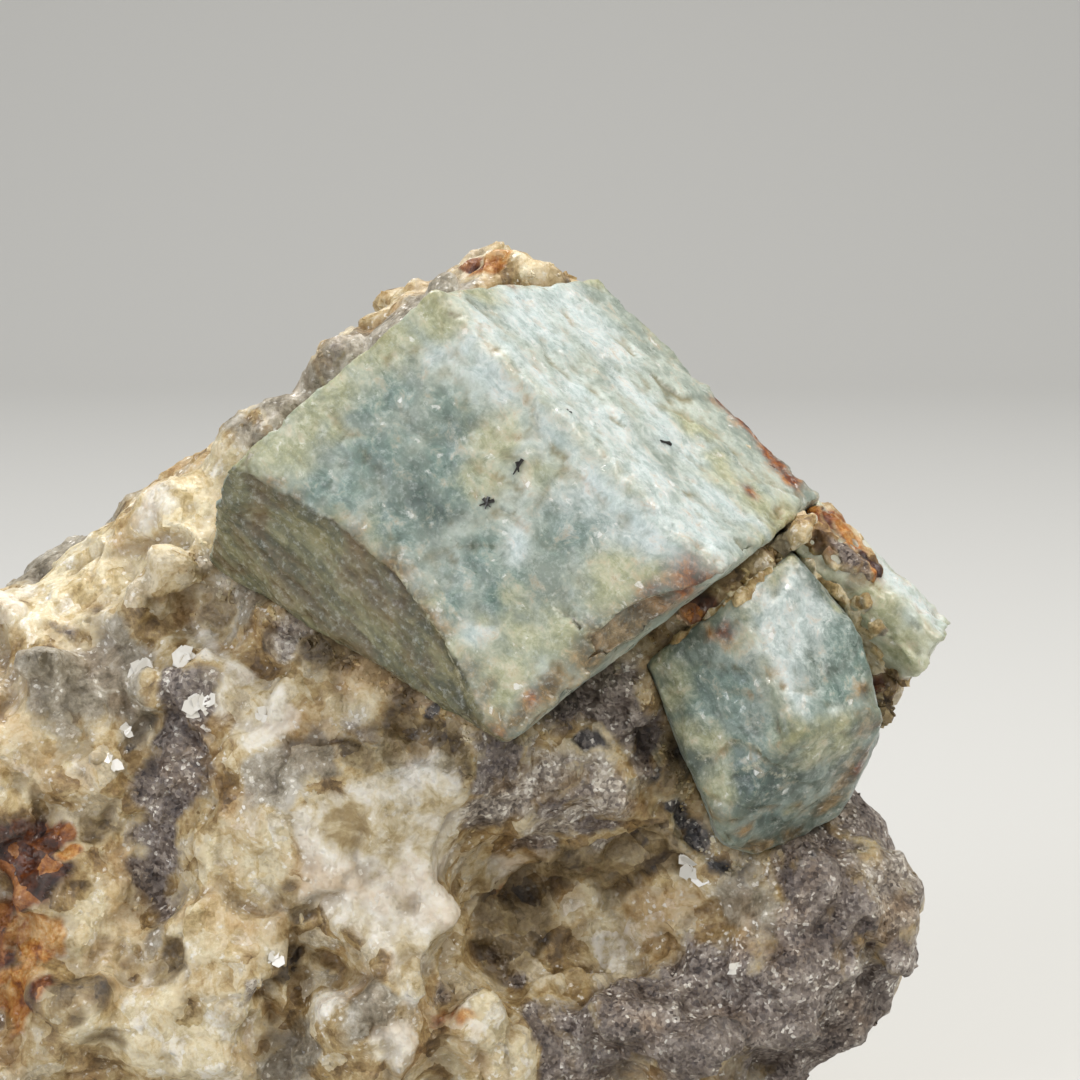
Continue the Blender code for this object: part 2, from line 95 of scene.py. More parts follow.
# %% Camera
PICTURE = 1080.0                 # the picture's side
LOOK_AT = Vector((0.0, 0.0, 66.0))
DISTANCE = 300.0
TILT_DOWN = math.radians(8.0)
LENS = 100.0
SENSOR = 36.0
AHEAD = Vector((0.0, math.cos(TILT_DOWN), -math.sin(TILT_DOWN)))
RIGHT = Vector((1.0, 0.0, 0.0))
UP = RIGHT.cross(AHEAD)
EYE = LOOK_AT - AHEAD * DISTANCE
lens = bpy.data.cameras.new("camera")
lens.lens = LENS
lens.sensor_width = SENSOR
lens.clip_start = 0.01
camera = bpy.data.objects.new("camera", lens)
bpy.context.scene.collection.objects.link(camera)
camera.matrix_world = Matrix.Translation(TO_FRAME @ EYE) @ Matrix((RIGHT, UP, -AHEAD)).transposed().to_4x4()
bpy.context.scene.camera = camera
print("camera stands at", [round(v, 4) for v in camera.location])

# %% [markdown]
# Every new piece starts from a copy of a solid or from a bmesh operator. A solid's faces are loose triangles,
# so a copy is welded first. A search tree of each copy tells where its skin is, which is how grains come to
# lie on the rock and stains on the crystal.

# %% Copies of the solids and their skins
WELD = 0.002


def copy_of(name):
    """A solid's mesh, welded, in the specimen's millimetres."""
    bm = bmesh.new()
    bm.from_mesh(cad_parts[name].data)
    bm.transform(TO_FRAME.inverted())
    bmesh.ops.remove_doubles(bm, verts=bm.verts, dist=WELD)
    return bm


CRYSTALS = ("main_crystal", "lower_crystal", "edge_crystal")
skins = {}
for name in (*CRYSTALS, "matrix"):
    bm = copy_of(name)
    skins[name] = BVHTree.FromBMesh(bm)
    print(name, len(bm.verts), "points,", len(bm.faces), "faces")
    bm.free()


def in_picture(place):
    """Where a point shows in the camera's picture, from -1 to 1 both ways."""
    way = place - EYE
    half = SENSOR / LENS / 2.0 * way.dot(AHEAD)
    return way.dot(RIGHT) / half, way.dot(UP) / half


middles = {}
for name in skins:
    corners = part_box(name)
    middles[name] = in_picture((Vector(corners[0]) + Vector(corners[1])) / (2.0 * MM) - ZERO)


INWARD_STEPS = 40     # a mark outside a solid's outline moves towards its middle in such steps


def seen(across, down, name):
    """The point and face direction of a solid that the camera sees there, or just inside its outline."""
    half = SENSOR / LENS / 2.0
    middle = middles[name]
    right, up = across * 2.0 / PICTURE - 1.0, 1.0 - down * 2.0 / PICTURE
    for step in range(INWARD_STEPS):
        share = step / INWARD_STEPS
        way = (AHEAD + RIGHT * half * (right + (middle[0] - right) * share)
               + UP * half * (up + (middle[1] - up) * share))
        place, facing, _, _ = skins[name].ray_cast(EYE, way.normalized())
        if place:
            return place, facing
    raise ValueError(f"{name} isn't seen near {across}, {down}")


print("the ridge is seen at", [round(v, 1) for v in seen(560, 420, "main_crystal")[0]])

# %% [markdown]
# A natural surface is one skin of small even faces that relief can move. The voxel remesh makes such a skin
# from any closed shape; its grain decides how fine the relief may be.

# %% Even skin, and finishing a piece
pieces = bpy.data.collections.new("aquamarine_specimen")
bpy.context.scene.collection.children.link(pieces)


def piece_of(bm, name):
    """An object from a bmesh."""
    mesh = bpy.data.meshes.new(name)
    bm.to_mesh(mesh)
    bm.free()
    made = bpy.data.objects.new(name, mesh)
    pieces.objects.link(made)
    return made


def resurface(bm, name, grain):
    """One closed skin of even faces around a bmesh."""
    made = piece_of(bm, name)
    skin = made.modifiers.new("skin", "REMESH")
    skin.mode = "VOXEL"
    skin.voxel_size = grain
    even = bpy.data.meshes.new_from_object(made.evaluated_get(bpy.context.evaluated_depsgraph_get()))
    made.modifiers.clear()
    made.data = even
    return made


def soften(bm):
    """One round of smoothing."""
    bmesh.ops.smooth_vert(bm, verts=bm.verts, factor=0.5, use_axis_x=True, use_axis_y=True, use_axis_z=True)


def paint(made, marks):
    """Keep a value from 0 to 1 for every point, under its name, for the materials to read."""
    for name, values in marks.items():
        layer = made.data.attributes.new(name, "FLOAT", "POINT")
        layer.data.foreach_set("value", np.asarray(values, dtype=np.float32))


def finish(made, coat, slot, crease, *nodes):
    """Move a piece into the frame, smooth its shading, and give it its finish and its body; the solids that
    it stands for are hidden.
    """
    made.data.transform(TO_FRAME)
    made.data.shade_smooth()
    made.data.set_sharp_from_angle(angle=math.radians(crease))
    made.data.materials.clear()
    made.data.materials.append(coat)
    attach(made, "root")
    if nodes:
        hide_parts(*nodes)
    triangles = sum(len(face.vertices) - 2 for face in made.data.polygons)
    print(made.name, triangles, "triangles")


# %% [markdown]
# Minerals lie in the rock as blotches with ragged borders. Each is given by where it shows in the camera's
# picture and how far it reaches in millimetres; those on the back and the sides have their place in the
# specimen's millimetres instead. Every blotch is a soft hill, and at each point the hills are weighed against
# each other, so that neighbouring minerals pass into one another as they do in the stone. The points are
# first shifted by soft noise, which is what makes the borders ragged.

# %% Blotches of mineral
HILL = 1.4            # how steeply a blotch fades: at its reach it has a quarter of its strength
REST = 0.35           # the weight of the plain stone between the blotches
LONG_WAVE = 6.0       # the waves of a ragged border, in mm
SHORT_WAVE = 1.7


def ragged(places, sway=2.8):
    """Points shifted by soft waves, by sway mm in the long ones and by a third of that in the short ones."""
    return np.array([place + noise.noise_vector(place / LONG_WAVE) * sway
                     + noise.noise_vector(place / SHORT_WAVE) * sway * 0.35 for place in places])


def shares_of(points, blotches, rest=REST):
    """The share of every mineral at each point; what is missing to 1 is the plain stone."""
    hills = {}
    for kind, spots in blotches.items():
        hill = np.zeros(len(points))
        for centre, reach in spots:
            gap = ((points - np.array(centre)) ** 2).sum(axis=1) / reach ** 2
            hill = np.maximum(hill, np.exp(-HILL * gap))
        hills[kind] = hill
    total = rest + sum(hills.values())
    return {kind: hill / total for kind, hill in hills.items()}


# across, down and reach in mm, as the camera sees them
ROCK_MARKS = {
    "white": [(385, 800, 4), (430, 790, 4), (400, 850, 6), (330, 850, 4), (380, 900, 5), (450, 900, 4),
        (410, 950, 4), (330, 1000, 2.2), (390, 1040, 2), (490, 870, 3), (200, 570, 2), (230, 690, 2),
        (262, 716, 2), (440, 660, 1.6), (160, 505, 3), (20, 600, 3), (440, 640, 1.6), (215, 655, 1.6),
        (200, 640, 1.4)],
    "cream": [(120, 1030, 5), (60, 560, 4), (200, 500, 3), (100, 540, 7), (60, 600, 5), (180, 530, 5),
        (230, 480, 4), (20, 730, 4), (10, 780, 4), (50, 740, 3), (130, 860, 3), (110, 930, 4), (210, 910, 5),
        (250, 850, 4), (150, 1010, 4), (230, 1050, 5), (350, 700, 3), (480, 1060, 4), (470, 1000, 3),
        (620, 910, 3.5), (600, 935, 3.5), (665, 905, 3), (510, 1075, 3), (770, 560, 1.6), (750, 585, 1.6),
        (790, 535, 1.4), (560, 250, 2), (140, 505, 4)],
    "glassy": [(60, 690, 5), (100, 660, 4), (30, 660, 4), (120, 715, 3), (268, 775, 2.8), (742, 900, 3.4),
        (430, 300, 5), (350, 350, 4), (290, 400, 4), (240, 440, 3), (385, 330, 3), (760, 930, 2.4),
        (245, 600, 3), (368, 1010, 3.2), (300, 1060, 3), (310, 760, 2.6), (150, 930, 2.6)],
    "smoky": [(190, 700, 3), (172, 740, 3), (165, 790, 3.2), (155, 835, 3.4), (150, 880, 3.2),
        (165, 915, 2.2), (132, 965, 2), (490, 782, 3), (520, 768, 3.2), (560, 800, 3.6), (600, 815, 3),
        (540, 832, 2.8), (580, 690, 4), (620, 700, 4), (640, 745, 3.5), (662, 700, 3), (600, 650, 2.5),
        (820, 860, 6), (875, 920, 6), (800, 930, 5), (860, 990, 6), (780, 1000, 6), (700, 1005, 6),
        (640, 1000, 5), (600, 1050, 5), (700, 1060, 6), (800, 1060, 6), (548, 1050, 3), (520, 975, 1.8),
        (330, 345, 1.6), (250, 425, 1.6), (60, 620, 1.4), (500, 960, 1.6), (925, 905, 4), (915, 850, 4),
        (918, 960, 4), (885, 820, 4), (860, 1040, 5)],
    "sand": [(520, 795, 3.8), (555, 825, 3.4), (490, 815, 3.4), (545, 790, 3.4), (600, 800, 3.2),
        (612, 838, 1.8), (890, 880, 3.6), (910, 920, 3.2), (880, 840, 2.6), (870, 950, 2.4),
        (560, 1045, 1.6), (760, 880, 1.6), (440, 1000, 1.6), (300, 640, 2.4), (250, 560, 2.2),
        (360, 715, 2.2), (250, 1000, 1.6)],
    "brown": [(250, 600, 1.8), (285, 640, 1.8), (330, 660, 2), (400, 722, 3.4), (350, 745, 2.4),
        (445, 745, 2.6), (90, 610, 1.6), (520, 900, 4), (560, 870, 4.4), (605, 868, 3.6), (500, 950, 3.4),
        (650, 850, 3.4), (620, 850, 2.8), (100, 830, 2.2), (92, 990, 2.4), (130, 905, 1.6), (285, 960, 2.2),
        # the brown at (680, 765) and (700, 740) is partly painted shade in the recess under the main
        # crystal's end
        (290, 880, 1.6), (460, 770, 2), (680, 765, 3), (700, 740, 2.6), (420, 690, 2), (180, 960, 2.2),
        (310, 905, 1.5), (880, 720, 2.4), (530, 940, 2), (450, 700, 2), (100, 1040, 2), (60, 1010, 2),
        (215, 610, 1.4)],
    "rust": [(10, 830, 3.4), (34, 838, 2.6), (20, 880, 4.4), (10, 920, 3), (45, 870, 2.4), (8, 955, 2.6),
        (42, 1000, 2.2), (455, 1015, 2.2), (698, 605, 2.4), (716, 626, 1.2), (872, 565, 2), (875, 690, 1.8),
        (470, 262, 1), (58, 828, 1.6), (505, 900, 1), (590, 872, 1)],
    "amber": [(28, 930, 2.8), (44, 948, 2), (20, 985, 3.4), (10, 1010, 2.6), (62, 850, 1.4), (497, 256, 2.6),
        (520, 250, 1.8), (443, 1022, 1.4), (835, 528, 2.4), (468, 1030, 1.4)],
    "black": [(700, 830, 1.8), (680, 812, 1.5), (722, 865, 1.3), (742, 880, 1.1), (762, 850, 1.3),
        # the black at (582, 742), (610, 770) and (662, 768) is partly painted shade in the recess under the
        # main crystal's end
        (800, 860, 1.2), (500, 735, 1.3), (452, 716, 1.2), (582, 742, 1.4), (122, 748, 1), (822, 852, 1.2),
        (662, 768, 1.6), (610, 770, 1.2), (690, 980, 1.2), (192, 722, 0.9)],
}
# the same minerals on the sides and the back: place in mm and reach
BACK_MARKS = {
    "white": [((-40, 26, 30), 11), ((0, 28, 60), 9), ((25, 20, 20), 8), ((-60, 12, 10), 7),
        ((-60, -6, 40), 7)],
    "cream": [((-52, 20, 48), 8), ((8, 30, 34), 9), ((-24, 26, 12), 8), ((30, 22, 44), 7)],
    "glassy": [((-15, 30, 80), 8), ((-50, 22, 62), 8), ((30, 16, 50), 7)],
    "smoky": [((-12, 30, 22), 10), ((20, 24, 66), 9), ((34, 8, 36), 7), ((-62, 6, 30), 7), ((10, 26, 5), 9),
        ((-60, -8, 16), 6)],
    "brown": [((-30, 30, 50), 8), ((14, 26, 46), 7), ((-60, 16, 24), 8), ((20, 20, 30), 6),
        ((-15, 28, 5), 7)],
    "rust": [((-30, 30, 54), 4), ((8, 26, 40), 3), ((-60, -10, 28), 6), ((-58, 4, 48), 3)],
    "amber": [((-62, -4, 22), 4), ((-20, 20, 92), 3), ((-26, 30, 50), 3)],
    "black": [((-4, 28, 26), 2), ((24, 22, 58), 2), ((-44, 26, 18), 2)],
}


def blotches_of(marks, name):
    """Where the marks that the camera sees lie on a solid."""
    return {kind: [(seen(across, down, name)[0], reach) for across, down, reach in spots]
            for kind, spots in marks.items()}


rock_blotches = blotches_of(ROCK_MARKS, "matrix")
for kind, spots in BACK_MARKS.items():
    rock_blotches[kind] += [(Vector(place), reach) for place, reach in spots]
print({kind: len(spots) for kind, spots in rock_blotches.items()})

# %% [markdown]
# The rock is made from a copy of its solid with a 0.95 mm skin, and the part that the camera sees is divided
# once more, to half of that. Finer everywhere would cost faces where nobody looks closely.

# %% The rock's skin
ROCK_GRAIN = 0.95
GRAZING = -0.05       # skin that turns away a little still shows over a bump
PICTURE_RIM = 1.02    # a little beyond the picture's edge
CLEAR = 0.2           # a sight line starts this far above the skin, in mm


def open_to_camera(place, facing):
    """True for skin inside the picture that faces the camera and isn't covered by a crystal."""
    way = (EYE - place).normalized()
    if facing.dot(way) < GRAZING or max(map(abs, in_picture(place))) > PICTURE_RIM:
        return False
    return not any(skins[name].ray_cast(place + way * CLEAR, way)[0] for name in CRYSTALS)


rock = resurface(copy_of("matrix"), "pegmatite_rock", ROCK_GRAIN)
bm = bmesh.new()
bm.from_mesh(rock.data)
bm.normal_update()
shown = {face for face in bm.faces if open_to_camera(face.calc_center_median(), face.normal)}
edges = [edge for edge in bm.edges if not shown.isdisjoint(edge.link_faces)]
bmesh.ops.subdivide_edges(bm, edges=edges, cuts=1, use_grid_fill=True)
print("rock:", len(shown), "faces divided,", len(bm.verts), "points")

# %% [markdown]
# Broken rock is made of grains, and each grain broke along its own plane. Space is divided into cells with
# one grain in each, a point takes the plane of the grain that is nearest to it, and close to a joint the
# planes are eased into each other over half a millimetre, because the skin can't hold a sharper step.

# %% Broken facets
DICE_MIX = np.array([[127.1, 311.7, 74.7], [269.5, 183.3, 246.1], [113.5, 271.9, 124.6]])
EASE = 0.22           # a joint is about twice this wide, in mm


def dice_of(cells, seed):
    """Three even numbers from 0 to 1 for every cell, the same at each run."""
    mixed = np.sin(cells @ DICE_MIX + seed) * 43758.5453
    return mixed - np.floor(mixed)


def facets(points, size, seed):
    """The tilt and the level of the grains at each point, and how near the joint is, from 0 to 1."""
    spots = points / size
    home = np.floor(spots)
    tilt, level, weight, strongest = (np.zeros(len(points)) for _ in range(4))
    for step in itertools.product((-1, 0, 1), repeat=3):
        cells = home + step
        ways = spots - cells - dice_of(cells, seed)
        pull = np.exp(-(ways ** 2).sum(axis=1) * size / EASE)
        lean = dice_of(cells, seed + 5.0) - 0.5
        tilt += pull * (ways * lean).sum(axis=1)
        level += pull * lean[:, 1]
        weight += pull
        strongest = np.maximum(strongest, pull)
    return tilt / weight * size, level / weight, 2.0 - 2.0 * strongest / weight


def unit(values):
    """The values, held between 0 and 1."""
    return np.clip(values, 0.0, 1.0)


def waves(places, size, roughness=0.6, octaves=3):
    """Soft fractal noise at each place, about -1 to 1."""
    return np.array([noise.fractal(place / size, roughness, 2.1, octaves) for place in places])


# %% [markdown]
# A few breaks are large enough to be made one by one: the ledge over the rock's hollow, the broken corner of
# the main crystal and the plates on the faces. Each is a line where the skin drops, which then eases out.

# %% Breaks
LEDGE = 0.9           # a drop takes this many mm, because the skin can't hold a sharper one
FAR = 99.0
# their line in the picture with the low part on its right hand, the drop in mm, and its run-out in mm
BREAK_LINES = {
    "matrix": [
        ([(446, 962), (462, 925), (506, 890), (568, 846), (640, 826)], 1.6, 7),
        ([(130, 700), (160, 780), (190, 880)], 0.6, 3),
        ([(250, 1000), (300, 968), (390, 975), (430, 1010)], 0.8, 4),
    ],
    "main_crystal": [
        ([(392, 566), (412, 600), (446, 645), (462, 690)], 0.45, 5),
        ([(600, 688), (599, 651), (584, 636), (612, 623), (640, 606), (664, 597), (722, 590)], 1.5, 8),
        ([(520, 520), (566, 548), (590, 592), (612, 610)], 0.3, 5),
        ([(440, 430), (490, 470), (560, 505)], 0.16, 5),
        ([(322, 452), (352, 432), (372, 456)], 0.3, 2.5),
        ([(386, 470), (388, 520), (400, 545)], 0.22, 4),
        ([(402, 560), (450, 545), (520, 540)], 0.2, 4),
    ],
    "lower_crystal": [
        ([(697, 762), (730, 738), (757, 744), (786, 770)], 0.55, 4),
        ([(735, 770), (760, 758), (775, 776), (800, 782)], 0.45, 3),
        ([(700, 790), (735, 800), (790, 806)], 0.25, 3),
        ([(664, 668), (700, 664), (735, 668)], 0.16, 2),
        ([(664, 690), (705, 684), (745, 692)], 0.16, 2),
    ],
    "edge_crystal": [
        ([(862, 600), (880, 622), (900, 650)], 0.5, 2.4),
    ],
}


def drop_at(points, normals, name):
    """How far the breaks lower each point, and how near it is to one of their lines, from 0 to 1."""
    drop = np.zeros(len(points))
    ledge = np.zeros(len(points))
    for line, depth, reach in BREAK_LINES[name]:
        corners = [seen(across, down, name)[0] for across, down in line]
        nearest = np.full(len(points), FAR)
        side = np.zeros(len(points))
        for start, end in itertools.pairwise(corners):
            run = np.array(end - start)
            share = unit((points - np.array(start)) @ run / (run @ run))
            way = points - np.array(start) - share[:, None] * run
            gap = np.linalg.norm(way, axis=1)
            closer = gap < nearest
            nearest[closer] = gap[closer]
            side[closer] = (np.cross(run, normals) * way).sum(axis=1)[closer]
        past = unit(0.5 + np.sign(side) * nearest / LEDGE)
        drop = np.maximum(drop, past * depth * unit(1.0 - nearest / reach) ** 1.5)
        ledge = np.maximum(ledge, unit(1.0 - nearest / LEDGE) * min(1.0, depth * 2.5))
    return drop, ledge


# %% [markdown]
# Feldspar cleaves into blocks of several millimetres, quartz breaks in smooth shells, and the smoky and the
# rusty parts are sugary, with grains near 1.3 mm. Each mineral mixes the same three sizes of grain in its own
# measure.

# %% Relief of the rock
GRAIN_SIZES = (8.0, 3.2, 1.3)
# tilt, and step in mm, of the three sizes, then the depth of the finest crumbling
BREAKS = {
    "plain": ((0.45, 0.50), (0.30, 0.15), (0.35, 0.06), 0.07),
    "white": ((0.25, 0.30), (0.10, 0.03), (0.08, 0.01), 0.015),
    "cream": ((0.45, 0.50), (0.28, 0.15), (0.30, 0.05), 0.05),
    "glassy": ((0.45, 0.50), (0.25, 0.10), (0.12, 0.02), 0.02),
    "smoky": ((0.30, 0.40), (0.28, 0.12), (0.45, 0.08), 0.11),
    "sand": ((0.30, 0.30), (0.25, 0.12), (0.50, 0.10), 0.13),
    "brown": ((0.40, 0.40), (0.35, 0.18), (0.50, 0.08), 0.10),
    "rust": ((0.40, 0.40), (0.40, 0.20), (0.55, 0.12), 0.12),
    "amber": ((0.40, 0.40), (0.35, 0.18), (0.45, 0.10), 0.09),
    "black": ((0.30, 0.30), (0.40, 0.15), (0.50, 0.08), 0.10),
}
WARP, WARP_WAVE = 0.8, 3.0       # how far, and in what waves, the grains' planes are bent, in mm
SWELL, SWELL_WAVE = 0.20, 5.0    # the height and length of the broad waves
places = [vert.co.copy() for vert in bm.verts]
bent = np.array([place + noise.noise_vector(place / WARP_WAVE) * WARP for place in places])
shares = shares_of(ragged(places), rock_blotches)
mix = {"plain": 1.0 - sum(shares.values()), **shares}
heights = waves(places, 1.0) * sum(share * BREAKS[kind][3] for kind, share in mix.items())
heights += waves(places, SWELL_WAVE) * SWELL
joint = np.zeros(len(places))
for index, size in enumerate(GRAIN_SIZES):
    tilt, level, near_joint = facets(bent, size, 3.0 * index)
    heights += tilt * sum(share * BREAKS[kind][index][0] for kind, share in mix.items())
    heights += level * sum(share * BREAKS[kind][index][1] for kind, share in mix.items())
    joint = np.maximum(joint, near_joint * (1.0 - 0.3 * index))
normals = np.array([vert.normal for vert in bm.verts])
heights -= drop_at(np.array(places), normals, "matrix")[0]
print("relief from", round(float(heights.min()), 2), "to", round(float(heights.max()), 2), "mm")

# %% [markdown]
# Where rock meets crystal there is no gap in nature: they grew against each other. The solids keep 0.3 mm
# between them, so the rock's skin close to a crystal is drawn onto it and a little way in. Farther out the
# relief takes over.

# %% Close the rock around the crystals
GRIP = 0.9            # rock skin nearer than this to a crystal is drawn towards it
GRIP_FULL = 0.4       # and nearer than this, onto it
RELIEF_START = 0.35   # the relief starts this far from a crystal
RELIEF_FULL = 2.2     # and has its whole height here
CONTACT_SHADE_REACH = 3.0      # the painted shade along a crystal reaches this far
SUNK = 0.12           # how far the rock's rim reaches into a crystal
FLAT_FOOT = 3.0       # below this height the relief fades, so that the specimen rests on its flat base
contact_shade = []
for index, vert in enumerate(bm.verts):
    found = min((skins[name].find_nearest(vert.co) for name in CRYSTALS), key=lambda hit: hit[3])
    gap = found[3]
    ease = max(0.0, (gap - RELIEF_START) / (RELIEF_FULL - RELIEF_START))
    ease = min(1.0, ease, max(0.0, vert.co.z / FLAT_FOOT))
    place = vert.co + vert.normal * float(heights[index]) * ease
    if gap < GRIP:
        drawn = 1.0 - max(0.0, gap - GRIP_FULL) / (GRIP - GRIP_FULL)
        place = place.lerp(found[0] - found[1] * SUNK, drawn)
    # painted shade: the nearer a crystal, the more the rock is marked for darkening, as shade along it
    contact_shade.append(max(0.0, 1.0 - gap / CONTACT_SHADE_REACH))
    places[index] = place
for vert, place in zip(bm.verts, places):
    vert.co = place

# %% [markdown]
# Where the skin lies deeper than its surroundings it is darkened, partly as dirt and partly as painted shade,
# and what stands out is made paler, partly as bruising and partly as a painted highlight. To find both, the
# skin is smoothed in memory, and each point is compared with its smoothed self.

# %% Hollows and bumps of the skin
# rounds of smoothing, and the height in mm that counts as full, for small and for wide forms
NEAR, WIDE = (4, 0.13), (24, 0.9)


def standing_out(bm, rounds):
    """How far each point stands out of its surroundings, in mm, after so many rounds of smoothing."""
    bm.normal_update()
    start = np.array([vert.co for vert in bm.verts])
    facing = np.array([vert.normal for vert in bm.verts])
    ends = np.array([[vert.index for vert in edge.verts] for edge in bm.edges])
    count = np.bincount(ends.ravel(), minlength=len(start))[:, None]
    soft = start.copy()
    for _ in range(rounds):
        total = np.zeros_like(soft)
        np.add.at(total, ends[:, 0], soft[ends[:, 1]])
        np.add.at(total, ends[:, 1], soft[ends[:, 0]])
        soft = total / count
    return ((start - soft) * facing).sum(axis=1)


bm.verts.index_update()
near_form, wide_form = (standing_out(bm, rounds) / full for rounds, full in (NEAR, WIDE))
# painted shade in the hollows, partly dirt, and a painted highlight on what stands out, partly bruising
hollow = unit(-near_form) * 0.6 + unit(-wide_form) * 0.6
raised = unit(near_form) * 0.5 + unit(wide_form) * 0.5
bm.to_mesh(rock.data)
skins["rock"] = BVHTree.FromBMesh(bm)
middles["rock"] = middles["matrix"]
bm.free()
paint(rock, {**shares, "joint": joint, "contact_shade": contact_shade, "hollow": hollow, "raised": raised})
print("rock skin has", len(rock.data.vertices), "points, hollow on", round(float((hollow > 0.3).mean()), 2))

# %% [markdown]
# Colours are written as sRGB hex, as a colour chart gives them, and turned to the linear values that the
# shader works with. One function adds every node: its settings first, then what feeds each socket. A value
# that is the same all over a stone is set on the shader's own socket.

# %% Colours and nodes
def colour(code):
    """An sRGB hex colour in linear values."""
    parts = [int(code[start:start + 2], 16) / 255.0 for start in (1, 3, 5)]
    return (*[part / 12.92 if part <= 0.04045 else ((part + 0.055) / 1.055) ** 2.4 for part in parts], 1.0)


def feed(made, feeds):
    """Give a node's sockets their values, or link other nodes' outputs to them."""
    for name, value in feeds.items():
        if isinstance(value, bpy.types.NodeSocket):
            made.id_data.links.new(value, made.inputs[name])
        else:
            made.inputs[name].default_value = value


def node(tree, kind, out, feeds, **settings):
    """Add a node with its settings and what feeds it, and give one of its outputs."""
    made = tree.nodes.new("ShaderNode" + kind)
    for name, value in settings.items():
        setattr(made, name, value)
    feed(made, feeds)
    return made.outputs[out]


def per(size):
    """The scale of a pattern whose features are this many millimetres wide, on coordinates in metres."""
    return 1.0 / (size * MM)


def new_coat(name, feeds):
    """A material with its Principled shader, and the way to add nodes to its tree."""
    made = bpy.data.materials.new(name)
    made.use_nodes = True
    shader = made.node_tree.nodes["Principled BSDF"]
    feed(shader, feeds)
    return made, shader, functools.partial(node, made.node_tree)


# %% [markdown]
# Three patterns serve every stone below. Coordinates that wander make natural borders. A broken mineral
# glitters because every grain has its own plane: the relief can't hold the smallest ones, so the shader tilts
# the skin's direction by a random amount on every cell of a Voronoi pattern. And each grain of a rock has a
# tone of its own, which a mosaic picks by the cell's random number.

# %% Patterns that every stone shares
# settings of the nodes that mix two colours, and of those that calculate
RGBA = {"data_type": "RGBA"}
MULTIPLY = {"data_type": "RGBA", "blend_type": "MULTIPLY"}
SCREEN = {"data_type": "RGBA", "blend_type": "SCREEN"}
TIMES = {"operation": "MULTIPLY"}
TIMES_PLUS = {"operation": "MULTIPLY_ADD"}
HALF = (0.5, 0.5, 0.5)


def waver(add, where, size, drift):
    """Coordinates that wander by drift mm in waves of this size in mm."""
    wave = add("TexNoise", "Color", {"Vector": where, "Scale": per(size), "Detail": 3.0})
    wave = add("VectorMath", 0, {0: wave, 1: HALF}, operation="SUBTRACT")
    return add("VectorMath", 0, {0: wave, 1: (drift * MM,) * 3, 2: where}, **TIMES_PLUS)


def glitter(add, where, facing, size, tilt):
    """The skin's direction, tilted on every grain of this size in mm, and the grain's random number."""
    dice = add("TexVoronoi", "Color", {"Vector": where, "Scale": per(size)})
    lean = add("VectorMath", 0, {0: dice, 1: HALF}, operation="SUBTRACT")
    lean = add("VectorMath", 0, {0: lean, "Scale": tilt}, operation="SCALE")
    leant = add("VectorMath", 0, {0: facing, 1: lean}, operation="ADD")
    return (add("VectorMath", 0, {0: leant}, operation="NORMALIZE"),
            add("SeparateColor", "Red", {"Color": dice}))


def mosaic(add, dice, tones, soft):
    """One tone after the other as the dice goes from 0 to 1, with soft steps between them."""
    tones = tones.split()
    made = colour(tones[0])
    for index, tone in enumerate(tones[1:], 1):
        step = index / len(tones)
        share = add("MapRange", 0, {0: dice, 1: step - soft, 2: step + soft})
        made = add("Mix", 2, {0: share, 6: made, 7: colour(tone)}, **RGBA)
    return made


# %% [markdown]
# Pegmatite is granite grown coarse: cream feldspar, white and grey quartz, smoky quartz that has been
# darkened underground, and iron rust in the cracks. It was broken with a hammer, so nothing is polished:
# feldspar is satin, quartz glints, rust is matt. The plain stone is a mosaic of tan and cream grains, and
# each mineral is laid over it by its share at the point, with tones of its own. White feldspar is cloudy
# instead, because its grains are too large to show, and smoky quartz is sugar with grains of 0.34 mm.

# %% Pegmatite
pegmatite, shader, add = new_coat("broken_pegmatite", {
    "IOR": 1.54, "Subsurface Weight": 0.12, "Subsurface Radius": (1.0, 0.8, 0.5),
    "Subsurface Scale": 0.9 * MM})
at = add("TexCoord", "Object", {})
facing = add("NewGeometry", "Normal", {})
bent_at = waver(add, at, 2.2, 2.0)
# coordinates, size in mm, detail, roughness and distortion
middling, broad, fine = (
    add("TexNoise", "Fac", {"Vector": where, "Scale": per(size), "Detail": detail, "Roughness": rough,
                            "Distortion": bend})
    for where, size, detail, rough, bend in (
        (bent_at, 3.4, 6.0, 0.66, 0.6), (bent_at, 8.0, 4.0, 0.6, 0.0), (at, 0.7, 4.0, 0.78, 0.0)))
marks = {name: add("Attribute", "Fac", {}, attribute_name=name)
         for name in (*ROCK_MARKS, "joint", "hollow", "contact_shade", "raised")}
sugary = add("MapRange", 0, {0: marks["smoky"], 1: 0.2, 2: 0.6, 3: 0.55, 4: 0.95})
leant, coarse_dice = glitter(add, bent_at, facing, 2.6, 0.50)
leant, sugar_dice = glitter(add, at, leant, 0.34, sugary)
cloudy = add("Math", 0, {0: fine, 1: 0.35, 2: middling}, **TIMES_PLUS)
cloudy = add("MapRange", 0, {0: cloudy, 1: 0.50, 2: 0.86})
milky = add("Math", 0, {0: broad, 1: 1.6, 2: middling}, **TIMES_PLUS)
milky = add("MapRange", 0, {0: milky, 1: 0.95, 2: 1.42})
grainy = add("Mix", 0, {0: 0.55, 2: coarse_dice, 3: cloudy})
sugar = add("Mix", 0, {0: 0.60, 2: sugar_dice, 3: cloudy})
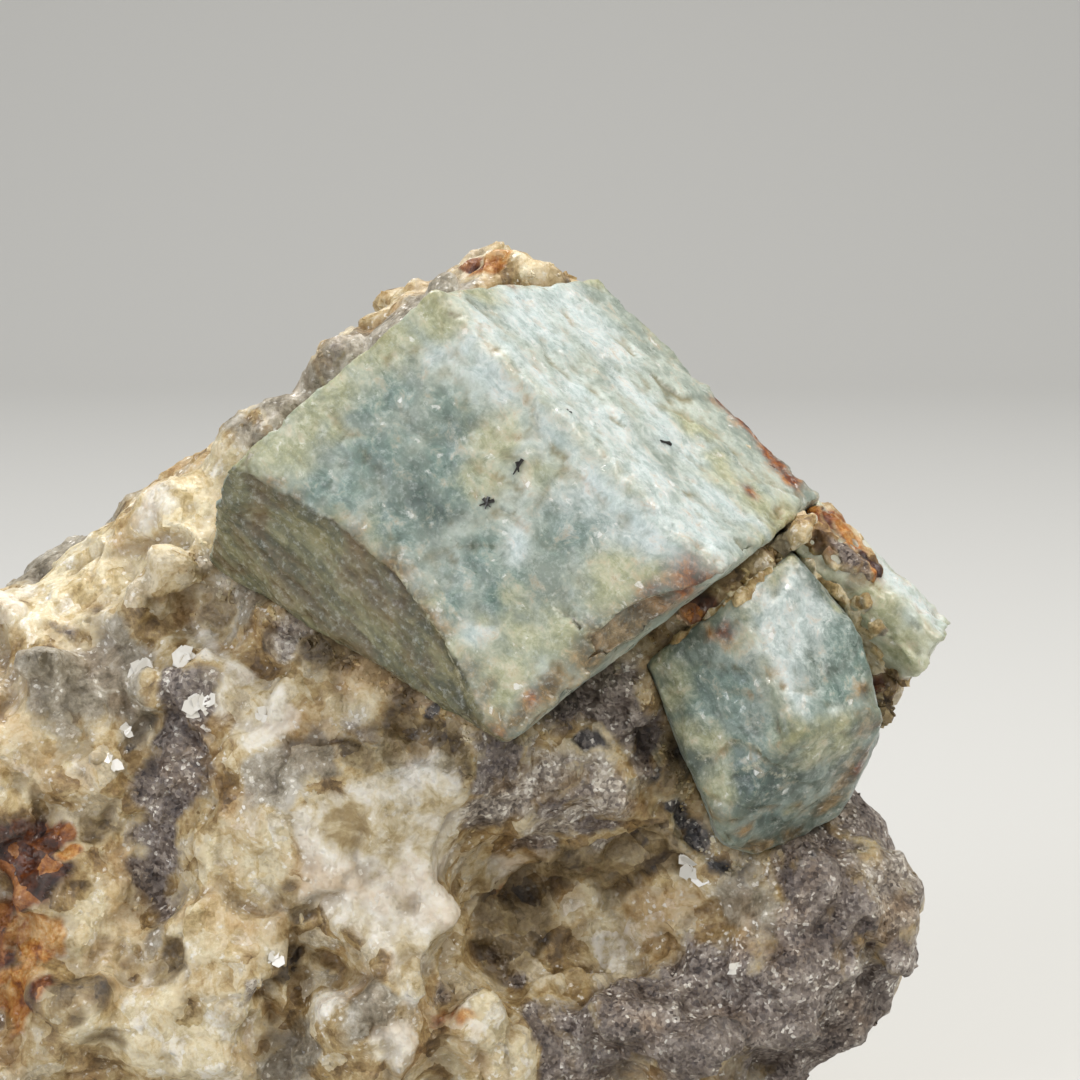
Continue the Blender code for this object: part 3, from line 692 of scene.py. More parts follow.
# mineral, raggedness, the pattern that picks the tones, how soft their steps are, and the tones
LAYERS = (
    ("cream", 0.5, grainy, 0.07, "#A58D5B #CBB583 #DECCA2 #EADFC0 #D6C79E #F2EBD8 #F6F1E4"),
    ("brown", 0.6, grainy, 0.06, "#2E2318 #4E3E28 #716041 #8E7B58 #A8966F #BFAE8B"),
    ("glassy", 0.7, cloudy, 0.10, "#665D4B #827966 #9C9381 #B2AA99 #C9C3B5"),
    ("white", 0.6, milky, 0.16, "#A38D62 #C6B48B #DBCFB2 #E9E1CD #F3EEE1"),
    ("smoky", 0.8, sugar, 0.06, "#342B29 #564B47 #71665F #8C8179 #AAA097 #D6CEC5"),
    ("sand", 0.9, sugar, 0.05, "#3F3733 #6A6058 #8F857A #B4AA9D #DCD5C9 #F2EDE4"),
    ("rust", 0.6, grainy, 0.10, "#180701 #321302 #4E2307 #743D13 #9C6126 #B98349"),
    ("amber", 0.6, cloudy, 0.12, "#6B3610 #96591C #B97A31 #CD9A55 #DDB985"),
    ("black", 0.9, sugar, 0.05, "#0E0C0D #1F1B1C #3A3536 #6F6A68 #9B948E"),
)
stone = mosaic(add, grainy, "#665132 #91774C #B39968 #CCB98F #DCCFB1 #BBAD8F #E9E1CC", 0.07)
for name, torn, pattern, soft, tones in LAYERS:
    share = add("Math", 0, {0: middling, 1: torn, 2: marks[name]}, **TIMES_PLUS)
    share = add("MapRange", 0, {0: share, 1: 0.24 + torn * 0.5, 2: 0.48 + torn * 0.5})
    stone = add("Mix", 2, {0: share, 6: stone, 7: mosaic(add, pattern, tones, soft)}, **RGBA)
# golden iron stain that wanders through the whole stone
stain = add("MapRange", 0, {0: broad, 1: 0.50, 2: 0.66, 4: 0.55})
stone = add("Mix", 2, {0: stain, 6: stone, 7: colour("#CFA86C")}, **MULTIPLY)
# dirt in the joints; in the hollows partly dirt and partly painted shade; painted shade along the crystals;
# and on what stands out partly pale bruises and partly a painted highlight
for name, tint, most, laid in (("joint", "#A08862", 0.2, MULTIPLY), ("hollow", "#7C6038", 0.45, MULTIPLY),
                               ("contact_shade", "#94794F", 0.65, MULTIPLY), ("raised", "#6B675E", 0.30, SCREEN)):
    share = add("Math", 0, {0: marks[name], 1: most}, **TIMES)
    stone = add("Mix", 2, {0: share, 6: stone, 7: colour(tint)}, **laid)
# a few of the sugar grains are nearly mirror smooth, and where no rust coats them they are painted white, a
# painted glint
glint = add("MapRange", 0, {0: sugar_dice, 1: 0.915, 2: 0.93})
bright = add("MapRange", 0, {0: cloudy, 1: 0.40, 2: 0.75, 3: 0.05, 4: 0.7})
painted_glint = add("Math", 0, {0: glint, 1: bright}, **TIMES)
for name in ("brown", "rust", "amber"):
    dull = add("MapRange", 0, {0: marks[name], 1: 0.1, 2: 0.4, 3: 1.0, 4: 0.1})
    painted_glint = add("Math", 0, {0: painted_glint, 1: dull}, **TIMES)
stone = add("Mix", 2, {0: painted_glint, 6: stone, 7: colour("#F7F3E9")}, **RGBA)
gloss = add("MapRange", 0, {0: middling, 1: 0.3, 2: 0.7, 3: 0.68, 4: 0.34})
gloss = add("Mix", 0, {0: glint, 2: gloss, 3: 0.15})
depth = add("Math", 0, {0: fine, 1: 0.5, 2: coarse_dice}, **TIMES_PLUS)
leant = add("Bump", 0, {"Height": depth, "Strength": 0.7, "Distance": 0.25 * MM, "Normal": leant})
feed(shader, {"Base Color": stone, "Roughness": gloss, "Normal": leant})
print("pegmatite:", len(pegmatite.node_tree.nodes), "nodes")
finish(rock, pegmatite, "pegmatite", 180, "matrix")

# %% [markdown]
# Grains and blocks that stand out of the rock are small solids of their own, half sunk in it: a cube cut by
# random planes. Feldspar blocks keep near the cube, because feldspar cleaves at right angles, and neighbours
# lie the same way. Smoky grains lie where the smoky quartz is, and sugar crumbles along the crystals.

# %% Loose grains of the rock
SQUARE, ROUND = (0.52, 0.70), (0.40, 0.52)     # how far from a stone's middle its corners are cut off
SMALLER = 1.6         # more than 1 makes small grains more common than large ones
SAME_LIE = 9.0        # square blocks nearer to each other than this mostly lie the same way
TRIES = 60            # places that are drawn for each grain, at most
FOOT = 3.0            # no block stands below this height, because the specimen rests there


def broken_stone(dice, cuts, square):
    """A unit stone: a cube with its corners broken off by random planes."""
    bm = bmesh.new()
    bmesh.ops.create_cube(bm, size=1.0)
    for _ in range(cuts):
        way = Vector((dice.gauss(0, 1), dice.gauss(0, 1), dice.gauss(0, 1))).normalized()
        reach = dice.uniform(*(SQUARE if square else ROUND))
        found = bmesh.ops.bisect_plane(bm, geom=bm.verts[:] + bm.edges[:] + bm.faces[:], dist=0.0001,
                                       plane_co=way * reach, plane_no=way, clear_outer=True)
        rim = [edge for edge in found["geom_cut"] if isinstance(edge, bmesh.types.BMEdge)]
        if rim:
            bmesh.ops.edgeloop_fill(bm, edges=rim)
    return bm


def lay_grains(name, spots, sizes, cuts, square, sink, seed, blotches, fused=0.0):
    """Grains at places with a face direction, sunk by a share of their size, or fused into one crust."""
    dice = random.Random(seed)
    heap = bmesh.new()
    centres = []
    for place, facing in spots:
        size = sizes[0] * (sizes[1] / sizes[0]) ** (dice.random() ** SMALLER)
        bm = broken_stone(dice, cuts, square)
        if square:
            lie = noise.cell_vector(place / SAME_LIE) * 6.0
        else:
            lie = Vector([dice.uniform(0, 6) for _ in range(3)])
        stretch = Matrix.Diagonal((size * dice.uniform(0.8, 1.3), size * dice.uniform(0.7, 1.1),
                                   size * dice.uniform(0.6, 1.0), 1.0))
        turn = (Matrix.Rotation(lie.x, 4, "X") @ Matrix.Rotation(lie.y, 4, "Y")
                @ Matrix.Rotation(lie.z, 4, "Z"))
        centre = place - facing * size * sink
        bm.transform(Matrix.Translation(centre) @ turn @ stretch)
        mesh = bpy.data.meshes.new("grain")
        bm.to_mesh(mesh)
        heap.from_mesh(mesh)
        centres += [centre] * len(bm.verts)
        bpy.data.meshes.remove(mesh)
        bm.free()
    if fused:
        made = resurface(heap, name, fused)
        heap = bmesh.new()
        heap.from_mesh(made.data)
        soften(heap)
        centres = [vert.co.copy() for vert in heap.verts]
        heap.to_mesh(made.data)
        heap.free()
    else:
        made = piece_of(heap, name)
    shares = shares_of(ragged(centres), blotches)
    blank = np.zeros(len(centres))
    paint(made, {**shares, "joint": blank, "contact_shade": blank, "hollow": blank, "raised": blank})
    return made


def scatter(ground, amount, seed, wanted):
    """Places on a finished piece's skin, drawn with the chance that wanted(place) gives."""
    dice = random.Random(seed)
    faces = ground.data.polygons
    found = []
    for _ in range(amount * TRIES):
        face = faces[dice.randrange(len(faces))]
        place = TO_FRAME.inverted() @ face.center
        if dice.random() < wanted(place):
            found.append((place, face.normal.copy()))
            if len(found) == amount:
                break
    return found


def crystal_gap(place):
    """How far it is to the nearest crystal."""
    return min(skins[name].find_nearest(place)[3] for name in CRYSTALS)


def near(spots, place):
    """True inside any of these blotches."""
    return any((place - centre).length < reach for centre, reach in spots)


def likes_feldspar(place):
    """Blocks keep off the other minerals, the crystals and the foot."""
    other = any(near(rock_blotches[kind], place) for kind in ("smoky", "sand", "rust", "amber"))
    return 0.0 if other or crystal_gap(place) < 1.8 or place.z < FOOT else 0.8


def likes_smoky(place):
    """Smoky grains keep to their mineral."""
    free = crystal_gap(place) > 0.9 and place.z > 2.0
    return 1.0 if free and near(rock_blotches["smoky"], place) else 0.0


def likes_contact(place):
    """Sugar keeps to a band along the crystals."""
    return 1.0 if 0.6 < crystal_gap(place) < 2.4 else 0.0


# name, what draws them, how many, seed, smallest and largest in mm, cuts, square, share sunk
for name, likes, amount, seed, sizes, cuts, square, sink in (
        ("feldspar_blocks", likes_feldspar, 420, 11, (0.8, 2.4), 8, True, 0.60),
        ("smoky_grains", likes_smoky, 420, 21, (0.4, 1.1), 9, False, 0.35),
        ("sugar_grains", likes_contact, 700, 31, (0.3, 0.9), 8, False, 0.25)):
    spots = scatter(rock, amount, seed, likes)
    grains = lay_grains(name, spots, sizes, cuts, square, sink, seed + 1, rock_blotches)
    finish(grains, pegmatite, "pegmatite", 30)

# %% [markdown]
# A beryl crystal is a six-sided prism. Its long axis and its front face give it a frame of its own: X out of
# the front face, Y towards the lower left side, Z along the prism. Striations and growth plates follow it.

# %% The crystals' own frames
FRONT = Vector((0.0, -0.990, 0.139))       # the way the specimen faces on display
# a point on the long axis, and the way it runs, downwards
AXES = {
    "main_crystal": (Vector((-7.0, 0.3, 68.0)), Vector((0.705, -0.235, -0.669))),
    "lower_crystal": (Vector((22.9, -1.2, 50.5)), Vector((0.398, -0.213, -0.892))),
    "edge_crystal": (Vector((32.7, 4.0, 58.8)), Vector((0.742, -0.093, -0.664))),
}


def own_frame(name):
    centre, along = AXES[name]
    along = along.normalized()
    facing = (FRONT - FRONT.project(along)).normalized()
    turn = Matrix((facing, along.cross(facing), along)).transposed().to_4x4()
    return Matrix.Translation(centre) @ turn


# %% [markdown]
# Marks on the crystals are placed as those on the rock are: teal where the beryl is clear, veils where it is
# full of tiny fluid bubbles, which along the main crystal's ridge and on its lit right face are also a
# painted sheen, sallow where iron tints it, and the brown and rusty films of its edges.

# %% Marks on the crystals
CRYSTAL_MARKS = {
    "main_crystal": {
        "deep": [(432, 500, 2.8), (412, 482, 2.6), (392, 508, 1.6), (560, 530, 1), (455, 425, 1.4)],
        "teal": [(380, 470, 3.4), (395, 525, 2.4), (460, 480, 2.4), (440, 450, 3), (455, 415, 2.4),
            (350, 500, 2.2), (310, 490, 2), (470, 560, 2.6), (440, 600, 2), (565, 530, 2.4), (600, 515, 2),
            (500, 600, 2.2), (555, 345, 2), (600, 345, 1.6), (385, 400, 2), (520, 585, 2)],
        # veils: milky patches, and partly a painted sheen along the ridge and on the lit right face
        "veil_and_sheen": [(465, 330, 3), (500, 365, 3.6), (530, 400, 3.6), (565, 440, 4), (600, 480, 4.4),
            (640, 515, 4.6), (700, 540, 4), (650, 470, 3), (700, 520, 3.4), (520, 300, 4.6), (565, 305, 4.6),
            (610, 350, 3.6), (580, 390, 3), (700, 460, 2.6), (740, 520, 2.4), (640, 400, 3), (470, 640, 1.6),
            (660, 430, 3.2), (720, 500, 3), (540, 330, 4), (595, 330, 3.6), (610, 430, 3.2), (510, 545, 2),
            (430, 345, 2.2)],
        "sallow": [(240, 470, 3.2), (270, 440, 3.4), (300, 410, 3.2), (340, 380, 3), (380, 345, 2.8),
            (430, 310, 2.6), (480, 283, 2.6), (345, 430, 2.2), (500, 432, 3), (545, 465, 2.2), (480, 475, 2),
            (620, 580, 3), (650, 575, 1.6), (690, 430, 2.2), (720, 470, 2.4), (760, 500, 2.6),
            (790, 515, 2.6), (420, 600, 1.8), (600, 275, 2.2), (500, 690, 3.6), (560, 640, 2.8),
            (450, 660, 2.4), (520, 640, 2.2), (782, 533, 1.2), (766, 548, 1.2), (750, 566, 1.2),
            (738, 582, 1.2), (520, 600, 1.6), (375, 545, 1.6), (480, 625, 1), (340, 530, 1.6)],
        "brown": [(500, 728, 2), (535, 712, 2), (560, 690, 2), (600, 665, 3), (625, 640, 3), (650, 615, 2.6),
            (578, 655, 2.2), (602, 640, 2), (478, 705, 1.6), (386, 563, 1.6), (408, 595, 1.6),
            (362, 545, 1.6), (325, 525, 1.4), (442, 641, 1.4), (456, 675, 1.5), (345, 437, 0.9),
            (294, 500, 1.2), (425, 618, 1.4), (270, 480, 1), (520, 720, 1.6)],
        "rust": [(722, 408, 1.4), (740, 426, 1.6), (756, 443, 1.8), (774, 461, 1.8), (793, 478, 1.8),
            (748, 487, 0.9), (700, 588, 3), (682, 600, 2.8), (722, 590, 1.6), (500, 735, 0.9), (545, 705, 1),
            (515, 268, 1.2)],
    },
    "lower_crystal": {
        "deep": [(765, 780, 3.2), (746, 768, 2.4), (788, 788, 2), (765, 822, 2.2), (745, 802, 2.4),
            (672, 702, 1.4)],
        "teal": [(735, 742, 2), (700, 705, 2.2), (730, 700, 2), (775, 728, 1.6), (690, 685, 1.6),
            (800, 745, 2), (735, 775, 1.6), (845, 690, 2.6), (825, 640, 2), (860, 660, 1.6),
            (810, 700, 1.4)],
        "veil_and_sheen": [(790, 690, 2.6), (770, 600, 4), (800, 618, 3.4), (760, 640, 3), (785, 665, 2.8),
            (850, 720, 1.2), (790, 575, 2.6), (795, 645, 2.2)],
        "sallow": [(790, 554, 1.2), (775, 566, 1.2), (760, 580, 1.2), (746, 597, 1.2), (835, 600, 1),
            (858, 635, 1), (735, 645, 1.6), (680, 690, 2), (790, 735, 2), (815, 750, 3), (845, 735, 2.4),
            (700, 740, 2.4), (720, 780, 2), (770, 580, 1.4), (665, 660, 1.6), (795, 812, 1.2)],
        "brown": [(846, 772, 2), (862, 750, 1.6), (830, 800, 1.8), (756, 850, 1.6), (792, 836, 1.6),
            (875, 722, 1.2), (720, 640, 1.2), (702, 636, 1.4), (880, 690, 1), (715, 815, 1.2),
            (735, 835, 1.4), (800, 810, 1.2)],
        "rust": [(855, 765, 1), (706, 638, 1.2), (722, 628, 1.2)],
    },
    "edge_crystal": {
        "veil_and_sheen": [(905, 580, 3.4), (930, 612, 3), (885, 560, 2.4), (900, 610, 2)],
        "sallow": [(880, 610, 2.4), (900, 645, 2.4), (870, 590, 2), (915, 665, 2)],
        "brown": [(888, 675, 2), (905, 692, 1.6), (850, 570, 1.4)],
        "rust": [(845, 530, 2), (868, 558, 1.4), (830, 520, 1.6)],
    },
}

# %% [markdown]
# Growth leaves low plates on a beryl's faces and fine lines along it; handling and weather wear its edges
# and chip them. The lower left side of the main crystal was etched and is strongly lined. All of it is
# relief on an even skin again, measured in the crystal's own frame, with the edges found on the solid.

# %% Relief of the crystals
SHARP = math.radians(25)         # solids' edges that turn more than this are crystal edges
EDGE_STEP = 0.4                  # from one point to the next along them
# the etched side: where it starts and ends around the crystal and how it fades, in degrees
WORN_FROM, WORN_TO, WORN_FADE = 22.0, 128.0, 14.0
END_FACE, END_FADE = 0.65, 0.2   # a face that turns along the axis more than this is an end, and isn't etched
# growth plates, broad and small: size in mm, seed, squeeze along the crystal, shift, step, tilt and groove
PLATES = ((4.6, 1.0, 0.7, 0.0, 0.20, 0.10, 0.02), (1.5, 2.0, 0.8, 9.0, 0.05, 0.12, 0.0))
SWELLS = 0.16                    # the height of waves of 6 mm on a face
PITS = 0.025                     # the height of its finest unevenness
STRIAE = (1.3, 1.3, 0.08)        # lines are close across the crystal and run along it
LINED, ETCHED = 0.012, 0.24      # their height on a plain face, and what the etched side adds
CHIP = 2.0                       # the size of a chip
CHIP_REACH = 1.4                 # chips reach this far from an edge, and twice that at the low end
LOW_END, LOW_FADE = 5.0, 3.0     # the low end is this long, and where it starts it fades in over this
RIM = 1.6                        # iron films reach this far from an edge
LOW_FORM = 0.08                  # a part that lies this much deeper than its surroundings is low
CLEAR_REST = 0.8                 # the weight of the unmarked beryl, which keeps its marks soft


def edge_points(name):
    """A search tree of points along the sharp edges of a solid."""
    bm = copy_of(name)
    found = []
    for edge in bm.edges:
        if len(edge.link_faces) == 2 and edge.calc_face_angle(0.0) > SHARP:
            start, end = (vert.co.copy() for vert in edge.verts)
            steps = max(1, int(edge.calc_length() / EDGE_STEP))
            found += [start.lerp(end, step / steps) for step in range(steps + 1)]
    bm.free()
    tree = kdtree.KDTree(len(found))
    for index, place in enumerate(found):
        tree.insert(place, index)
    tree.balance()
    return tree


def grow_crystal(name, title, grain, wear, worn_side):
    """A crystal's skin with its plates, lines, breaks and chips, and the marks that its coat reads."""
    made = resurface(copy_of(name), title, grain)
    bm = bmesh.new()
    bm.from_mesh(made.data)
    for vert in bm.verts:
        vert.co = skins[name].find_nearest(vert.co)[0]
    for _ in range(2):
        soften(bm)
    bm.normal_update()
    edges = edge_points(name)
    places = [vert.co.copy() for vert in bm.verts]
    points = np.array(places)
    normals = np.array([vert.normal for vert in bm.verts])
    own = np.array(own_frame(name).inverted())
    local = points @ own[:3, :3].T + own[:3, 3]
    out = normals @ own[:3, :3].T
    gap = np.array([edges.find(place)[2] for place in places])
    shares = shares_of(ragged(places, 2.4), blotches_of(CRYSTAL_MARKS[name], name), CLEAR_REST)
    turned = np.degrees(np.arctan2(out[:, 1], out[:, 0]))
    # the etched side; its coat is also darkened there as painted shade, for it faces down, away from the
    # light
    worn = (unit((turned - WORN_FROM) / WORN_FADE) * unit((WORN_TO - turned) / WORN_FADE)
            * unit((END_FACE - np.abs(out[:, 2])) / END_FADE) * worn_side)
    height = np.zeros(len(points))
    for size, seed, squeeze, shift, step, lean, groove in PLATES:
        tilt, level, joint = facets(local * (1.0, 1.0, squeeze) + shift, size, seed)
        height += level * step + tilt * lean - joint * groove
    height += waves(places, 6.0) * SWELLS + waves(places, 0.8, 0.8, 2) * PITS
    lines = np.array([noise.fractal(Vector(place), 0.5, 2.1, 4) for place in local * STRIAE])
    height += lines * (LINED + ETCHED * worn)
    level = facets(points, CHIP, 7.0)[1]
    nick = np.clip(level * 1.6 + 0.25 + waves(places, 5.0) * 0.5, 0.0, 1.4)
    low_end = unit((local[:, 2] - local[:, 2].max() + LOW_END) / LOW_FADE)
    height -= wear * nick * unit(1.0 - gap / (CHIP_REACH * (1.0 + low_end))) * (1.0 + low_end)
    drop, ledge = drop_at(ragged(places, 0.5), normals, name)
    height -= drop
    for vert, lift in zip(bm.verts, height):
        vert.co += vert.normal * float(lift)
    low_parts = unit(-standing_out(bm, 5) / LOW_FORM)
    bm.to_mesh(made.data)
    bm.free()
    paint(made, {**shares, "worn": worn, "ledge": ledge, "rim": unit(1.0 - gap / RIM), "hollow": low_parts})
    return made


main = grow_crystal("main_crystal", "main_aquamarine", 0.48, 0.45, 1.0)
lower = grow_crystal("lower_crystal", "lower_aquamarine", 0.34, 0.45, 0.0)
edge = grow_crystal("edge_crystal", "edge_aquamarine", 0.3, 0.6, 0.0)

# %% [markdown]
# Aquamarine is beryl coloured by a trace of iron. This one is milky: light goes in, is scattered by tiny
# bubbles and comes out nearby, which subsurface scattering gives. Clear patches look teal, veils look white,
# partly as a painted sheen along the ridge and the lit faces, and cracks carry yellow iron films. Its faces
# are natural growth faces, glossy but uneven.

# %% Beryl
# mark, raggedness, the most that it covers, and its tones
TINTS = [("teal", 0.5, 0.90, "#5A6F68 #778D84 #9AACA2"),
         ("deep", 0.5, 0.85, "#33433D #4B5F58 #6C8079"),
         # veils are partly a painted sheen on the lit faces
         ("veil_and_sheen", 0.6, 0.90, "#B0BFBC #C9D4D2 #E2E9E8"),
         ("sallow", 0.6, 0.85, "#94956F #B1B18C #CFCEB0"),
         ("brown", 0.7, 0.90, "#4A371D #77603A #A89068"),
         ("rust", 0.5, 1.0, "#3E1606 #783A12 #B87630")]


def beryl_coat(title, name, tones):
    made, shader, add = new_coat(title, {
        "IOR": 1.57, "Subsurface Weight": 0.35, "Subsurface Radius": (0.8, 1.0, 0.95),
        "Subsurface Scale": 1.2 * MM})
    at = add("TexCoord", "Object", {})
    facing = add("NewGeometry", "Normal", {})
    own = TO_FRAME @ own_frame(name)
    back = (Matrix.Translation(own.to_translation()) @ own.to_3x3().normalized().to_4x4()).inverted()
    turned = add("Mapping", 0, {"Vector": at, "Location": back.to_translation(), "Rotation": back.to_euler()})
    # drawn out along the crystal: a little for its growth shells, and much for its striations
    shells, threads = (add("VectorMath", 0, {0: turned, 1: (1.0, 1.0, squeeze)}, **TIMES)
                       for squeeze in (0.85, 0.14))
    along = waver(add, shells, 3.5, 1.6)
    # coordinates, size in mm, detail, roughness and distortion
    clouds, wisps, streaks, feathers, fibres = (
        add("TexNoise", "Fac", {"Vector": where, "Scale": per(size), "Detail": detail, "Roughness": rough,
                                "Distortion": bend})
        for where, size, detail, rough, bend in (
            (along, 7.0, 5.0, 0.6, 0.6), (along, 1.8, 6.0, 0.75, 0.4), (threads, 1.1, 4.0, 0.7, 0.0),
            (at, 0.6, 3.0, 0.7, 0.0), (threads, 2.4, 5.0, 0.6, 0.0)))
    marks = {mark: add("Attribute", "Fac", {}, attribute_name=mark)
             for mark in (*[tint[0] for tint in TINTS], "worn", "ledge", "hollow", "rim")}
    leant, shell_dice = glitter(add, along, facing, 3.4, 0.09)
    leant, fleck_dice = glitter(add, at, leant, 0.55, 0.22)
    body = clouds
    for pattern, weight in ((wisps, 0.6), (shell_dice, 0.14), (streaks, 0.15)):
        body = add("Math", 0, {0: pattern, 1: weight, 2: body}, **TIMES_PLUS)
    skin = mosaic(add, add("MapRange", 0, {0: body, 1: 0.76, 2: 1.12}), tones, 0.2)
    mottle = add("Math", 0, {0: streaks, 1: 0.20, 2: wisps}, **TIMES_PLUS)
    mottle = add("MapRange", 0, {0: mottle, 1: 0.42, 2: 0.78})
    for mark, torn, most, mark_tones in TINTS:
        share = add("Math", 0, {0: wisps, 1: torn, 2: marks[mark]}, **TIMES_PLUS)
        share = add("MapRange", 0, {0: share, 1: 0.02 + torn * 0.5, 2: 0.46 + torn * 0.5, 4: most})
        skin = add("Mix", 2, {0: share, 6: skin, 7: mosaic(add, mottle, mark_tones, 0.2)}, **RGBA)
    # the etched side: olive and grey green, faintly lined along the crystal, and pinkish where clay fills it;
    # its dark tones are partly painted shade, for this side faces down, away from the light
    lined = add("Math", 0, {0: wisps, 1: 0.7, 2: fibres}, **TIMES_PLUS)
    lined = add("MapRange", 0, {0: lined, 1: 0.62, 2: 1.08})
    lined = mosaic(add, lined, "#3A3923 #57553A #75714D #918C66", 0.24)
    clay = add("MapRange", 0, {0: clouds, 1: 0.46, 2: 0.64, 4: 0.65})
    lined = add("Mix", 2, {0: clay, 6: lined, 7: colour("#77603F")}, **RGBA)
    share = add("Math", 0, {0: wisps, 1: 0.5, 2: marks["worn"]}, **TIMES_PLUS)
    share = add("MapRange", 0, {0: share, 1: 0.45, 2: 1.10, 4: 0.90})
    skin = add("Mix", 2, {0: share, 6: skin, 7: lined}, **RGBA)
    # pale and dark feathers inside
    for start, full, most, tint in ((0.52, 0.74, 0.30, "#E6ECE6"), (0.48, 0.28, 0.22, "#55675F")):
        share = add("MapRange", 0, {0: feathers, 1: start, 2: full, 4: most})
        skin = add("Mix", 2, {0: share, 6: skin, 7: colour(tint)}, **RGBA)
    # painted glints: white flecks where a crack would reflect, away from the etched side
    glint = add("MapRange", 0, {0: fleck_dice, 1: 0.93, 2: 0.945})
    painted_glint = glint
    for pattern, start, full, least, most in ((wisps, 0.5, 0.62, 0.0, 0.6),
                                              (marks["worn"], 0.2, 0.6, 1.0, 0.1)):
        share = add("MapRange", 0, {0: pattern, 1: start, 2: full, 3: least, 4: most})
        painted_glint = add("Math", 0, {0: painted_glint, 1: share}, **TIMES)
    skin = add("Mix", 2, {0: painted_glint, 6: skin, 7: colour("#FAFCFA")}, **RGBA)
    # ragged pale cracks where the breaks run
    crack = add("Math", 0, {0: feathers, 1: 1.6, 2: marks["ledge"]}, **TIMES_PLUS)
    crack = add("MapRange", 0, {0: crack, 1: 1.45, 2: 1.85, 4: 0.5})
    skin = add("Mix", 2, {0: crack, 6: skin, 7: colour("#D8D3B6")}, **RGBA)
    # yellow iron films in the low parts and along the edges
    for mark, tint, most in (("hollow", "#AA925C", 0.75), ("rim", "#C2B07A", 0.55)):
        film = add("MapRange", 0, {0: clouds, 1: 0.42, 2: 0.60, 4: most})
        film = add("Math", 0, {0: film, 1: marks[mark]}, **TIMES)
        skin = add("Mix", 2, {0: film, 6: skin, 7: colour(tint)}, **MULTIPLY)
    gloss = add("MapRange", 0, {0: wisps, 1: 0.3, 2: 0.7, 3: 0.50, 4: 0.24})
    for share, value in ((marks["worn"], 0.26), (glint, 0.10)):
        gloss = add("Mix", 0, {0: share, 2: gloss, 3: value})
    leant = add("Bump", 0, {"Height": feathers, "Strength": 0.6, "Distance": 0.10 * MM, "Normal": leant})
    feed(shader, {"Base Color": skin, "Roughness": gloss, "Normal": leant})
    print(title, len(made.node_tree.nodes), "nodes")
    return made


milky = beryl_coat("milky_beryl", "main_crystal", "#8A9489 #A5AEA2 #C1C8BB")
teal = beryl_coat("teal_beryl", "lower_crystal", "#59645A #76837A #96A39A")
sallow = beryl_coat("pale_beryl", "edge_crystal", "#B2B396 #D0D2BE #E9ECE1")
finish(main, milky, "milky_beryl", 180, "main_crystal")
finish(lower, teal, "teal_beryl", 180, "lower_crystal")
finish(edge, sallow, "pale_beryl", 180, "edge_crystal")

# %% [markdown]
# The edge crystal still wears the crust that it grew through: rusty and brown crumbs over its upper half. A
# little of it runs on along the back edge of the main crystal. The crumbs are drawn from the crystals' skins.

# %% Rusty crust
CRUST_MARKS = {
    "edge_crystal": {
        "rust": [(835, 522, 1.8), (868, 560, 1.6), (890, 692, 1.4), (820, 540, 1.6)],
        "amber": [(850, 535, 1.8), (822, 515, 1.6), (872, 572, 1.2)],
        "brown": [(815, 545, 1.6), (888, 680, 1.8)],
        "smoky": [(842, 552, 1.8), (828, 540, 1.2), (856, 566, 1.2)],
        "glassy": [(862, 604, 1), (876, 630, 1)],
    },
    "main_crystal": {
        "rust": [(772, 468, 1.1), (790, 484, 1.3), (745, 446, 0.8)],
        "amber": [(782, 476, 1), (728, 424, 0.7), (800, 492, 1)],
    },
}
crust_blotches = {}
crust_spots = []
for name, ground, amount in (("edge_crystal", edge, 420), ("main_crystal", main, 90)):
    found = blotches_of(CRUST_MARKS[name], name)
    spots = [spot for group in found.values() for spot in group]
    crust_spots += scatter(ground, amount, 41, lambda place: 1.0 if near(spots, place) else 0.0)
    for kind, group in found.items():
        crust_blotches.setdefault(kind, []).extend(group)
crust = lay_grains("rusty_crust", crust_spots, (0.4, 1.3), 8, False, 0.2, 42, crust_blotches, fused=0.22)
finish(crust, pegmatite, "pegmatite", 180)

# %% [markdown]
# A seam of cream crumbs fills the gaps between the crystals: between the main and the lower one, and between
# the lower one and its neighbour at the edge. The crumbs are stacked along each gap, from the rock at its
# bottom to just under the crystals' faces.

# %% Crumbs in the seams
SEAM_MARKS = {
    "cream": [(775, 552, 3), (750, 585, 2)], "glassy": [(790, 545, 2), (762, 570, 1.6), (860, 625, 3)],
    "rust": [(712, 614, 2.2), (696, 606, 3.4)], "brown": [(730, 604, 1.4), (670, 635, 2.4)],
    "white": [(845, 605, 3), (870, 650, 2.4)], "amber": [(718, 622, 1)],
}
# the gap's line in the picture and its half width there, the crystals on its sides, how far under their
# faces the crumbs start, and how many they are
SEAMS = [([(806, 522), (770, 558), (736, 598)], 9, ("main_crystal", "lower_crystal"), 0.1, 420),
         ([(738, 598), (700, 618), (668, 640)], 11, ("main_crystal", "lower_crystal"), 0.6, 320),
         ([(796, 552), (834, 590), (868, 640), (880, 668)], 6, ("lower_crystal", "edge_crystal"), 0.3, 380)]
DEEPEST = 4.0         # crumbs are stacked this deep at most


